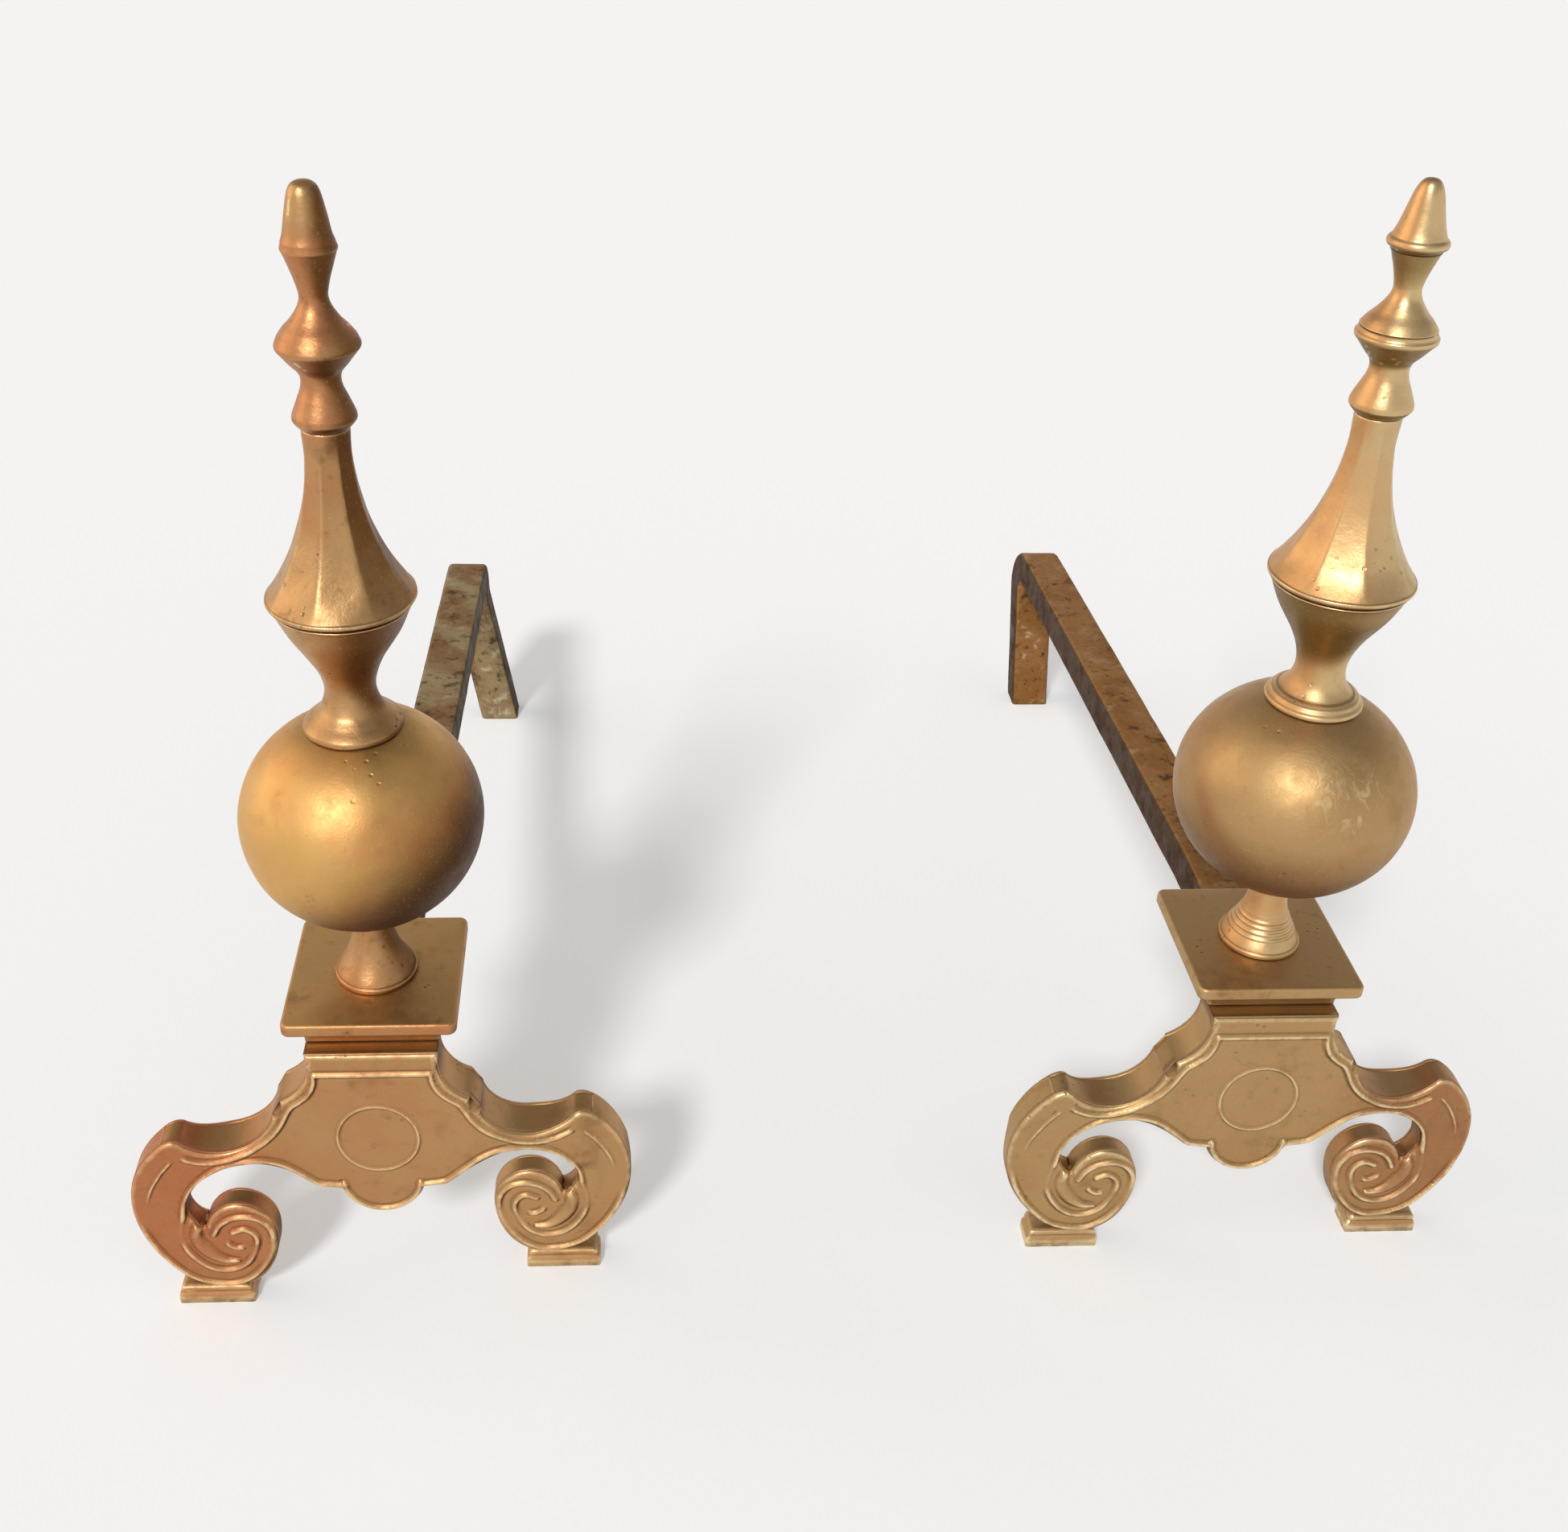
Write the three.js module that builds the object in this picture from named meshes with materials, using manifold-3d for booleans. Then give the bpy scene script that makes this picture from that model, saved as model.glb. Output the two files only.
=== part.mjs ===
// A pair of brass ball-and-steeple andirons with scrolled legs and forged iron billet bars.
// Millimetres, +Z up. The fronts face -Y and the billet bars run back along +Y.
// Each andiron is a stack clamped by one iron tie rod: the finial screws down on the rod's top,
// and a nut under the leg casting's rear shelf closes the stack on the billet bar's front end.

import * as THREE from 'three';
import { mergeVertices } from 'three/addons/utils/BufferGeometryUtils.js';
import Module from 'manifold-3d';

const wasm = await Module();
wasm.setup();

// ---------------------------------------------------------------- driving dimensions

const pairSpacing = 356;          // between the two column axes
const rightSetBack = 14;          // the right one stands a little further back
const seatGap = 0.3;              // left between pieces that are clamped face to face
const rodClearance = 0.45;        // radial, round the tie rod
const rodRadius = 4.75;           // 3/8 inch iron rod

// scrolled leg casting, drawn on its flat front face
const legDepth = 20;              // front to back at the shield
const elbowDepth = 14;            // thinner where the legs turn down
const scrollDepth = 11;           // and thinnest at the feet's scrolls
const edgeRound = 1.5;            // softened front edge
const shieldTop = 127.5;
const shieldTopHalf = 25.5;
const lobeRadius = 17;            // rounded drop under the shield
const lobeBottom = 44.5;
const legReach = 99.5;            // half of the spread over the two scrolls
const footCentre = 71;
const footHalf = 15.5;
const footHeight = 9.5;
const footDepth = 13;
const footProud = 1;              // the foot pad stands forward of the scroll
const footTaper = 1.5;
const shoulderDrop = 5.5;         // from the shield's top edge down to its upper scoop
const upperScoopRadius = 20;
const elbowScoopRadius = 21;
const elbowScoopInset = 38.5;     // of its centre, from the leg's outermost point
const elbowScoopDrop = 26.5;      // of its centre, from the shield's top edge
const scrollHalf = 37.5;
const scrollCentre = 52;          // heights from the hearth
const scrollFoot = 8;
const volutePlace = 58;           // distance of the volute from the middle
const voluteHalf = 15;
const voluteCentre = 37;
const voluteTop = 54.5;
const archPlace = 53;             // middle of the arch under the leg
const archHalf = 24.5;
const archSpring = 51;
const archTop = 72.6;
const stepPlace = 27;             // small step beside the lobe
const stepHeight = 59.3;
const scrollThinTop = 56;         // up to here the scrolls keep their thin section
const legThickFoot = 79;          // from here up the casting has its full depth
const legThickHalf = 60;          // the same, out from the middle
const elbowThinHalf = 82;
const sweepStart = 35;            // out from the middle, where a leg's sweep begins
const scrollEase = 7.5;           // height over the volute in which the leg turns parallel
const pocketWall = 6;             // front wall left where the shield is hollowed from behind
const pocketHalfWidth = 25;
const pocketHalfHeight = 18;
const shelfHalf = 12;             // rear shelf that carries the bar and the nut
const shelfThick = 6;

// plinth: a square cap over a cavetto, open below
const capHalf = 33.2;
const capFront = 0.5;             // behind the leg casting's front face
const capTop = 142;
const capThick = 5.6;
const capRound = 1.4;
const capCornerRound = 3;
const cavettoTopHalf = 29.5;
const cavettoFootHalf = 25.8;
const plinthWall = 5;

// billet bar: one forging, its rear end turned down as the rear leg
const barWidth = 22.5;
const barHeight = 18;
const barLevelRun = 80;           // level stretch under the plinth and behind it
const barRearReach = 470;         // rear face of the rear leg, from the leg casting's front
const barRearTop = 111;
const barBendRadius = 17;
const barEdgeRound = 2.2;

// turned column
const spoolLength = 32.2;
const spoolBaseRadius = 16.1;
const spoolNeckRadius = 6.8;
const ballRadius = 45;
const ballSquash = 0.94;
const ballWall = 3.5;
const ballFootRadius = 10;        // flat under the ball
const collarSeatRadius = 17;      // flat on top of the ball
const collarRadius = 18;
const neckLength = 50.5;
const neckRadius = 9.2;
const waistShare = 0.31;          // where the neck is narrowest, as a share of its length
const rimRadius = 26.2;
const steepleLength = 63.7;
const steepleTopRadius = 8.1;
const steepleFlare = 2.3;         // power of the concave sweep
const steepleSides = 8;
const steepleWall = 4;
const ringRadius = 10.8;
const ringRise = 3.9;             // from the finial's foot
const upperNeckRadius = 6.6;
const discRadius = 13.9;
const discRise = 24.2;            // from the ring
const tipNeckRadius = 4.7;
const tipNeckRise = 14.6;         // from the disc
const tipRimRise = 16;            // from the tip's neck
const tipLength = 21;             // from the tip's rim
const rodInFinial = 15.7;
const rodEndRoom = 1;             // between the rod's end and the bottom of its bore

// fasteners on the tie rod
const washerRadius = 11;
const washerThick = 2;
const nutAcross = 17;
const nutThick = 8;
const rodTail = 4;                // rod showing below the nut

// what differs from one andiron to the other: the facets' turn, the rim of the tip, how far each
// leg is swept forward in degrees, the bar's turn, and how far its rear leg's foot is to the right
const andirons = [
  {
    side: 'left', steepleTurn: 9.5, tipRimRadius: 9, legSweep: [6.2, -10.8], barTurn: 0.6, legLean: 15.5,
  },
  {
    side: 'right', steepleTurn: -24.5, tipRimRadius: 10, legSweep: [-1.3, -6.6], barTurn: 0.1, legLean: 7,
  },
];

// ---------------------------------------------------------------- sizes that follow

const columnY = capFront + capHalf;
const capUnder = capTop - capThick;
const plinthFoot = shieldTop + seatGap;
const barTop = capUnder - seatGap;
const barUnder = barTop - barHeight;
const barFront = legDepth + 2 * seatGap;
const shelfTop = barUnder - seatGap;
const shelfUnder = shelfTop - shelfThick;
const boreRadius = rodRadius + rodClearance;
const washerTop = shelfUnder - seatGap;
const nutTop = washerTop - washerThick - seatGap;
const rodBottom = nutTop - nutThick - rodTail;
const spoolFoot = capTop + seatGap;
const spoolTop = spoolFoot + spoolLength;
const ballFoot = spoolTop + seatGap;
const ballCentreHeight = ballFoot + ballFlatDrop(ballFootRadius);
const ballCrown = ballCentreHeight + ballFlatDrop(collarSeatRadius);
const collarFoot = ballCrown + seatGap;
const rimHeight = collarFoot + neckLength;
const steepleFoot = rimHeight + seatGap;
const steepleTop = steepleFoot + steepleLength;
const finialFoot = steepleTop + seatGap;
const rodTop = finialFoot + rodInFinial;

// height of the ball's surface over its centre, at a distance from the axis
function ballFlatDrop(radius) {
  return ballSquash * Math.sqrt(ballRadius ** 2 - radius ** 2);
}

// ---------------------------------------------------------------- geometry helpers

const mergeTolerance = 1e-4;

function toSolid(geometry) {
  const bare = geometry.clone();
  bare.deleteAttribute('normal');
  bare.deleteAttribute('uv');
  const merged = mergeVertices(bare, mergeTolerance);
  const triangles = [];
  for (let i = 0; i < merged.index.count; i += 3) {
    const [a, b, c] = [0, 1, 2].map((k) => merged.index.getX(i + k));
    if (a !== b && b !== c && c !== a) triangles.push(a, b, c);
  }
  return new wasm.Manifold(new wasm.Mesh({
    numProp: 3,
    vertProperties: new Float32Array(merged.attributes.position.array),
    triVerts: new Uint32Array(triangles),
  }));
}

function toGeometry(solid) {
  const mesh = solid.getMesh();
  const geometry = new THREE.BufferGeometry();
  geometry.setAttribute('position', new THREE.BufferAttribute(mesh.vertProperties, 3));
  geometry.setIndex(new THREE.BufferAttribute(mesh.triVerts, 1));
  geometry.computeVertexNormals();
  return geometry;
}

function unite(solids) {
  return solids.reduce((whole, next) => whole.add(next));
}

// a shape drawn in X and Z on the front face, carried back from y = front by depth
function frontExtrude(shape, front, depth, options = {}) {
  const geometry = new THREE.ExtrudeGeometry(shape, { depth, bevelEnabled: false, ...options });
  geometry.rotateX(Math.PI / 2);
  return geometry.translate(0, front + depth, 0);
}

// a shape drawn in Y and Z, carried across to both sides of x = 0
function sideExtrude(shape, width) {
  const geometry = new THREE.ExtrudeGeometry(shape, { depth: width, bevelEnabled: false });
  const turn = new THREE.Matrix4().makeBasis(
    new THREE.Vector3(0, 1, 0),
    new THREE.Vector3(0, 0, 1),
    new THREE.Vector3(1, 0, 0),
  );
  return geometry.applyMatrix4(turn).translate(-width / 2, 0, 0);
}

// a shape drawn in X and Y, carried up from z = foot
function planExtrude(shape, foot, height) {
  const geometry = new THREE.ExtrudeGeometry(shape, { depth: height, bevelEnabled: false });
  return geometry.translate(0, 0, foot);
}

// a profile of radius and height turned about the column axis
function turned(profile, segments, phiStart = 0) {
  const geometry = new THREE.LatheGeometry(profile, segments, phiStart);
  return geometry.rotateX(Math.PI / 2);
}

function rodBore(bottom, top, radius = boreRadius) {
  const drill = new THREE.CylinderGeometry(radius, radius, top - bottom, 24);
  return drill.rotateX(Math.PI / 2).translate(0, 0, (top + bottom) / 2);
}

function polygon(points) {
  return new THREE.Shape(points.map(([x, y]) => new THREE.Vector2(x, y)));
}

function spline(points, steps) {
  return new THREE.SplineCurve(points.map(([r, z]) => new THREE.Vector2(r, z))).getPoints(steps);
}

// a closed skin over a list of closed rings, each ring a list of points, with flat end caps
function loft(rings) {
  const count = rings[0].length;
  const positions = rings.flat().flatMap((p) => [p.x, p.y, p.z]);
  const triangles = [];
  for (let row = 0; row < rings.length - 1; row += 1) {
    for (let i = 0; i < count; i += 1) {
      const a = row * count + i;
      const b = row * count + ((i + 1) % count);
      triangles.push(a, b, b + count, a, b + count, a + count);
    }
  }
  const last = (rings.length - 1) * count;
  for (let i = 1; i < count - 1; i += 1) {
    triangles.push(0, i + 1, i, last, last + i, last + i + 1);
  }
  const geometry = new THREE.BufferGeometry();
  geometry.setAttribute('position', new THREE.Float32BufferAttribute(positions, 3));
  geometry.setIndex(triangles);
  return geometry;
}

// ---------------------------------------------------------------- scrolled leg casting

// the right half of the front outline, from the middle of the shield's top edge round the
// leg and its scroll to the lowest point of the lobe
function halfLegOutline() {
  const path = new THREE.Path();
  const deg = Math.PI / 180;
  const upperX = shieldTopHalf - 0.5 + upperScoopRadius;
  const upperZ = shieldTop - shoulderDrop;
  const lowerX = legReach - elbowScoopInset;
  const lowerZ = shieldTop - elbowScoopDrop;
  const elbowAngle = -32 * deg;
  const elbowSoftness = 9 * deg;
  const elbowX = lowerX + elbowScoopRadius * Math.cos(elbowAngle);
  const elbowZ = lowerZ + elbowScoopRadius * Math.sin(elbowAngle);
  const scrollX = legReach - scrollHalf;
  const scrollStart = Math.acos((elbowX - scrollX) / scrollHalf);
  const scrollRise = (elbowZ - scrollCentre) / Math.sin(scrollStart);
  const voluteInner = volutePlace - voluteHalf;
  const voluteOuter = voluteHalf - 1;
  const voluteRise = voluteTop - voluteCentre;
  const archOuter = archPlace + archHalf;
  const archRise = archTop - archSpring;
  const lobeCentre = lobeBottom + lobeRadius;
  const lobeStart = -15 * deg;

  path.moveTo(0, shieldTop);
  path.lineTo(shieldTopHalf, shieldTop);
  path.absarc(upperX, upperZ, upperScoopRadius, 180 * deg, 246 * deg, false);
  const scrollSoft = scrollStart - elbowSoftness;
  path.absarc(
    lowerX, lowerZ, elbowScoopRadius, 190 * deg, 360 * deg + elbowAngle - 1.5 * elbowSoftness, false,
  );
  path.quadraticCurveTo(
    elbowX,
    elbowZ,
    scrollX + scrollHalf * Math.cos(scrollSoft),
    scrollCentre + scrollRise * Math.sin(scrollSoft),
  );
  path.absellipse(scrollX, scrollCentre, scrollHalf, scrollRise, scrollSoft, 0, true);
  path.absellipse(scrollX, scrollCentre, scrollHalf, scrollCentre - scrollFoot, 0, -90 * deg, true);
  path.absellipse(
    scrollX, voluteCentre, scrollX - voluteInner, voluteCentre - scrollFoot, -90 * deg, -180 * deg, true,
  );
  path.absellipse(volutePlace, voluteCentre, voluteHalf, voluteRise, 180 * deg, 90 * deg, true);
  path.absellipse(volutePlace, voluteCentre, voluteOuter, voluteRise, 90 * deg, 18 * deg, true);
  path.quadraticCurveTo(archOuter - 1.5, archSpring - 7, archOuter, archSpring);
  path.absellipse(archPlace, archSpring, archHalf, archRise, 0, 90 * deg, false);
  path.bezierCurveTo(
    archPlace - 0.4 * archHalf, archTop, archPlace - 0.73 * archHalf, archTop - 6, stepPlace, stepHeight,
  );
  path.lineTo(stepPlace - 2.5, stepHeight - 1.5);
  path.absarc(0, lobeCentre, lobeRadius, lobeStart, -90 * deg, true);
  return path.getPoints(5);
}

function legOutline() {
  const half = halfLegOutline();
  const mirrored = half.slice(1, -1).reverse().map((p) => new THREE.Vector2(-p.x, p.y));
  return new THREE.Shape([...half, ...mirrored]);
}

function footPad(side) {
  const shape = polygon([
    [-footHalf, 0],
    [footHalf, 0],
    [footHalf, footHeight * 0.45],
    [footHalf - footTaper, footHeight],
    [-footHalf + footTaper, footHeight],
    [-footHalf, footHeight * 0.45],
  ]);
  return frontExtrude(shape, -footProud, footDepth).translate(side * footCentre, 0, 0);
}

// bends each leg forward by its degrees, outwards from the shield, and keeps its scroll and foot
// parallel to the shield
function sweptLegs(casting, legSweep) {
  const fullOut = footCentre + footHalf - sweepStart;
  const rates = legSweep.map((degrees) => Math.tan(THREE.MathUtils.degToRad(degrees)));
  return casting.warp((point) => {
    const out = Math.min(Math.abs(point[0]) - sweepStart, fullOut);
    if (out <= 0) return;
    const scrolled = 1 - THREE.MathUtils.smoothstep(point[2], voluteTop, voluteTop + scrollEase);
    point[1] -= rates[point[0] < 0 ? 0 : 1] * (out + (fullOut - out) * scrolled);
  });
}

function legCasting({ legSweep }) {
  const plate = toSolid(frontExtrude(legOutline(), edgeRound, legDepth, {
    bevelEnabled: true,
    bevelThickness: edgeRound,
    bevelSize: edgeRound,
    bevelOffset: -edgeRound,
    bevelSegments: 2,
  }));
  const over = legDepth;
  const ease = 0.26 * (legThickFoot - scrollThinTop);
  const easeDepth = 0.22 * (legDepth - scrollDepth);
  const sideProfile = polygon([
    [-over, -over],
    [scrollDepth, -over],
    [scrollDepth, scrollThinTop],
    [scrollDepth + easeDepth, scrollThinTop + ease],
    [legDepth - easeDepth, legThickFoot - ease],
    [legDepth, legThickFoot],
    [legDepth, shieldTop + over],
    [-over, shieldTop + over],
  ]);
  const planProfile = polygon([
    [-legReach - over, -over],
    [legReach + over, -over],
    [legReach + over, elbowDepth],
    [elbowThinHalf, elbowDepth],
    [legThickHalf, legDepth],
    [-legThickHalf, legDepth],
    [-elbowThinHalf, elbowDepth],
    [-legReach - over, elbowDepth],
  ]);
  const pocket = new THREE.Shape();
  const pocketCentre = (shieldTop + lobeBottom) / 2;
  pocket.absellipse(0, pocketCentre, pocketHalfWidth, pocketHalfHeight, 0, Math.PI * 2, false);
  const shelf = new THREE.Shape();
  shelf.moveTo(-shelfHalf, legDepth - 3);
  shelf.lineTo(shelfHalf, legDepth - 3);
  shelf.lineTo(shelfHalf, columnY);
  shelf.absarc(0, columnY, shelfHalf, 0, Math.PI, false);
  const body = plate
    .intersect(toSolid(sideExtrude(sideProfile, 2 * (legReach + over))))
    .intersect(toSolid(planExtrude(planProfile, -over, shieldTop + 2 * over)))
    .subtract(toSolid(frontExtrude(pocket, pocketWall, legDepth)));
  const front = unite([body, toSolid(footPad(-1)), toSolid(footPad(1))]);
  return sweptLegs(front, legSweep)
    .add(toSolid(planExtrude(shelf, shelfUnder, shelfThick)))
    .subtract(toSolid(rodBore(shelfUnder - 1, shelfTop + 1).translate(0, columnY, 0)));
}

// ---------------------------------------------------------------- plinth

function plinth({ barTurn }) {
  const squared = (half, z) => new THREE.Vector2(half * Math.SQRT2, z);
  const profile = [squared(0, capTop)];
  for (let i = 0; i <= 3; i += 1) {
    const a = (i / 3) * (Math.PI / 2);
    profile.push(squared(capHalf - capRound * (1 - Math.sin(a)), capTop - capRound * (1 - Math.cos(a))));
  }
  profile.push(squared(capHalf, capUnder + capRound / 2));
  profile.push(squared(capHalf - capRound / 2, capUnder));
  profile.push(squared(cavettoTopHalf, capUnder));
  const recess = 1.2;
  const sweep = capUnder - recess - plinthFoot;
  for (let i = 0; i <= 5; i += 1) {
    const a = (i / 5) * (Math.PI / 2);
    const half = cavettoTopHalf - (cavettoTopHalf - cavettoFootHalf) * Math.sin(a);
    profile.push(squared(half, capUnder - recess - sweep * (1 - Math.cos(a))));
  }
  profile.push(squared(cavettoFootHalf - plinthWall, plinthFoot));
  profile.push(squared(cavettoFootHalf - plinthWall, capUnder));
  profile.push(squared(0, capUnder));
  const block = new THREE.Shape();
  const flat = capHalf - capCornerRound;
  block.absarc(flat, flat, capCornerRound, 0, Math.PI / 2, false);
  block.absarc(-flat, flat, capCornerRound, Math.PI / 2, Math.PI, false);
  block.absarc(-flat, -flat, capCornerRound, Math.PI, Math.PI * 1.5, false);
  block.absarc(flat, -flat, capCornerRound, Math.PI * 1.5, Math.PI * 2, false);
  const barSwing = capHalf * Math.sin(THREE.MathUtils.degToRad(barTurn));
  const notchHalf = barWidth / 2 + barSwing + seatGap;
  const notch = new THREE.BoxGeometry(2 * notchHalf, capHalf, capUnder - plinthFoot + 2);
  notch.translate(0, cavettoFootHalf - plinthWall - 1 + capHalf / 2, (capUnder + plinthFoot - 2) / 2);
  return toSolid(turned(profile.reverse(), 4, Math.PI / 4))
    .intersect(toSolid(planExtrude(block, plinthFoot - 1, capTop - plinthFoot + 2)))
    .subtract(toSolid(rodBore(capUnder - 1, capTop + 1)))
    .subtract(toSolid(notch));
}

// ---------------------------------------------------------------- turned column pieces

const bigTurn = 32;
const smallTurn = 24;

// closes an outer profile round the rod's bore
function bored(outer, radius = boreRadius) {
  const first = outer[0];
  const last = outer[outer.length - 1];
  return [
    new THREE.Vector2(radius, first.y),
    ...outer,
    new THREE.Vector2(radius, last.y),
    new THREE.Vector2(radius, first.y),
  ];
}

function spool() {
  const edge = 1.8;
  const rounding = 0.8;
  const foot = spoolFoot + edge + rounding;
  const stem = 0.7 * spoolLength;
  const flare = 0.46 * stem;
  const drop = spoolBaseRadius - rounding - spoolNeckRadius;
  const outer = [[spoolBaseRadius, spoolFoot], [spoolBaseRadius, spoolFoot + edge]];
  const steps = 6;
  for (let i = 0; i <= steps; i += 1) {
    const rise = stem * (i / steps) ** 1.6;
    outer.push([spoolNeckRadius + drop * Math.exp(-((rise / flare) ** 1.3)), foot + rise]);
  }
  const bead = 0.09 * spoolLength;
  outer.push([spoolNeckRadius + 1, spoolTop - bead]);
  outer.push([spoolNeckRadius + 1.1, spoolTop - 0.4 * bead]);
  outer.push([spoolNeckRadius + 0.4, spoolTop]);
  return toSolid(turned(bored(outer.map(([r, z]) => new THREE.Vector2(r, z))), smallTurn));
}

function ballArc(radius, fromAngle, toAngle, steps) {
  const points = [];
  for (let i = 0; i <= steps; i += 1) {
    const a = fromAngle + ((toAngle - fromAngle) * i) / steps;
    points.push(new THREE.Vector2(
      radius * Math.cos(a),
      ballCentreHeight + ballSquash * radius * Math.sin(a),
    ));
  }
  return points;
}

function ball() {
  const outer = ballArc(
    ballRadius,
    -Math.acos(ballFootRadius / ballRadius),
    Math.acos(collarSeatRadius / ballRadius),
    14,
  );
  const innerRadius = ballRadius - ballWall;
  const innerStart = Math.acos(boreRadius / innerRadius);
  const inner = ballArc(innerRadius, innerStart, -innerStart, 7);
  return toSolid(turned([
    new THREE.Vector2(boreRadius, ballFoot),
    ...outer,
    new THREE.Vector2(boreRadius, ballCrown),
    ...inner,
    new THREE.Vector2(boreRadius, ballFoot),
  ], bigTurn));
}

function neck() {
  const waist = waistShare * neckLength;
  const rise = neckLength - waist;
  const waistHeight = collarFoot + waist;
  const bellSpread = rimRadius - neckRadius;
  const collarStep = collarRadius - neckRadius;
  const rimEdge = 0.8;
  const outer = [
    new THREE.Vector2(collarRadius, collarFoot),
    new THREE.Vector2(collarRadius, collarFoot + 0.1 * waist),
    ...spline([
      [neckRadius + 0.89 * collarStep, collarFoot + 0.14 * waist],
      [neckRadius + 0.39 * collarStep, collarFoot + 0.38 * waist],
      [neckRadius + 0.09 * collarStep, collarFoot + 0.65 * waist],
      [neckRadius, waistHeight],
      [neckRadius + 0.07 * bellSpread, waistHeight + 0.2 * rise],
      [neckRadius + 0.26 * bellSpread, waistHeight + 0.405 * rise],
      [neckRadius + 0.65 * bellSpread, waistHeight + 0.7 * rise],
      [rimRadius - rimEdge, waistHeight + 0.954 * rise],
    ], 10),
    new THREE.Vector2(rimRadius - rimEdge, rimHeight),
  ];
  return toSolid(turned(bored(outer), bigTurn));
}

// an eight-sided bell: the facets are strongest half way up and fade into the round rim and
// the turned top
function steeple() {
  const perSide = 4;
  const count = steepleSides * perSide;
  const half = Math.PI / steepleSides;
  const rows = 10;
  const rimBead = 2.2;
  const bellFoot = rimHeight + rimBead;
  const rings = [];
  const firstCorner = -Math.PI / 2 - half;
  const ring = (radius, z, facet) => Array.from({ length: count }, (_, i) => {
    const offset = (((i % perSide) / perSide) * 2 - 1) * half;
    const flat = Math.cos(half) / Math.cos(offset);
    const r = radius * (1 - facet + facet * flat);
    const angle = firstCorner + (i / count) * 2 * Math.PI;
    return new THREE.Vector3(r * Math.cos(angle), r * Math.sin(angle), z);
  });
  rings.push(ring(rimRadius - 0.6, steepleFoot, 0));
  rings.push(ring(rimRadius, steepleFoot + 0.8, 0));
  for (let row = 0; row <= rows; row += 1) {
    const u = 1 - row / rows;
    const z = steepleTop - u * (steepleTop - bellFoot);
    const radius = steepleTopRadius + (rimRadius - steepleTopRadius - 0.2) * u ** steepleFlare;
    const facet = Math.min(1, 4 * (1 - u)) * Math.min(1, 0.35 + 4 * u);
    rings.push(ring(radius, z, facet));
  }
  const hollow = [[boreRadius, steepleTop + 1], [boreRadius, steepleFoot + 0.56 * steepleLength]];
  hollow.push([0.54 * rimRadius, steepleFoot + 0.2 * steepleLength]);
  hollow.push([rimRadius - steepleWall, steepleFoot + 1]);
  hollow.push([rimRadius - steepleWall, steepleFoot - 1]);
  const core = [[0, steepleFoot - 1], ...hollow.reverse(), [0, steepleTop + 1]];
  return toSolid(loft(rings)).subtract(
    toSolid(turned(core.map(([r, z]) => new THREE.Vector2(r, z)), smallTurn)),
  );
}

function finial({ tipRimRadius }) {
  const ring = finialFoot + ringRise;
  const disc = ring + discRise;
  const tipNeck = disc + tipNeckRise;
  const rim = tipNeck + tipRimRise;
  const discStep = discRadius - tipNeckRadius;
  const rimStep = tipRimRadius - tipNeckRadius;
  const outer = [
    [steepleTopRadius, finialFoot],
    [ringRadius - 1.2, ring - 0.49 * ringRise],
    [ringRadius, ring - 0.1 * ringRise],
    [ringRadius - 0.1, ring + 0.2 * ringRise],
  ].map(([r, z]) => new THREE.Vector2(r, z));
  const add = (points, steps) => outer.push(...spline(points, steps).slice(1));
  add([
    [ringRadius - 0.1, ring + 0.2 * ringRise],
    [ringRadius - 2.3, ring + 0.22 * discRise],
    [upperNeckRadius, ring + 0.5 * discRise],
    [upperNeckRadius + 1.2, ring + 0.69 * discRise],
    [discRadius - 3, ring + 0.83 * discRise],
    [discRadius, ring + 0.975 * discRise],
  ], 7);
  add([
    [discRadius, ring + 0.975 * discRise],
    [tipNeckRadius + 0.91 * discStep, disc + 0.1 * tipNeckRise],
    [tipNeckRadius + 0.43 * discStep, disc + 0.47 * tipNeckRise],
    [tipNeckRadius + 0.07 * discStep, disc + 0.73 * tipNeckRise],
    [tipNeckRadius, tipNeck],
    [tipNeckRadius + 0.26 * rimStep, tipNeck + 0.5 * tipRimRise],
    [tipNeckRadius + 0.79 * rimStep, tipNeck + 0.875 * tipRimRise],
    [tipRimRadius, rim],
  ], 8);
  add([
    [tipRimRadius, rim],
    [0.76 * tipRimRadius, rim + 0.2 * tipLength],
    [0.62 * tipRimRadius, rim + 0.55 * tipLength],
    [0.5 * tipRimRadius, rim + 0.85 * tipLength],
    [0.19 * tipRimRadius, rim + 0.98 * tipLength],
  ], 6);
  outer.push(new THREE.Vector2(0, rim + tipLength));
  const closed = [
    new THREE.Vector2(0, rodTop + rodEndRoom),
    new THREE.Vector2(boreRadius, rodTop + rodEndRoom),
    new THREE.Vector2(boreRadius, finialFoot),
    ...outer,
  ];
  return toSolid(turned(closed, smallTurn));
}

// ---------------------------------------------------------------- iron work

function tieRod() {
  const rod = new THREE.CylinderGeometry(rodRadius, rodRadius, rodTop - rodBottom, 16);
  return toSolid(rod.rotateX(Math.PI / 2).translate(0, 0, (rodTop + rodBottom) / 2));
}

function rodWasher() {
  const thick = washerThick;
  const disc = new THREE.CylinderGeometry(washerRadius, washerRadius, thick, smallTurn);
  disc.rotateX(Math.PI / 2).translate(0, 0, washerTop - thick / 2);
  return toSolid(disc).subtract(toSolid(rodBore(washerTop - thick - 1, washerTop + 1)));
}

function rodNut() {
  const side = nutAcross;
  const block = new THREE.BoxGeometry(side, side, nutThick).translate(0, 0, nutTop - nutThick / 2);
  return toSolid(block).subtract(toSolid(rodBore(nutTop - nutThick - 1, nutTop + 1)));
}

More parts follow.
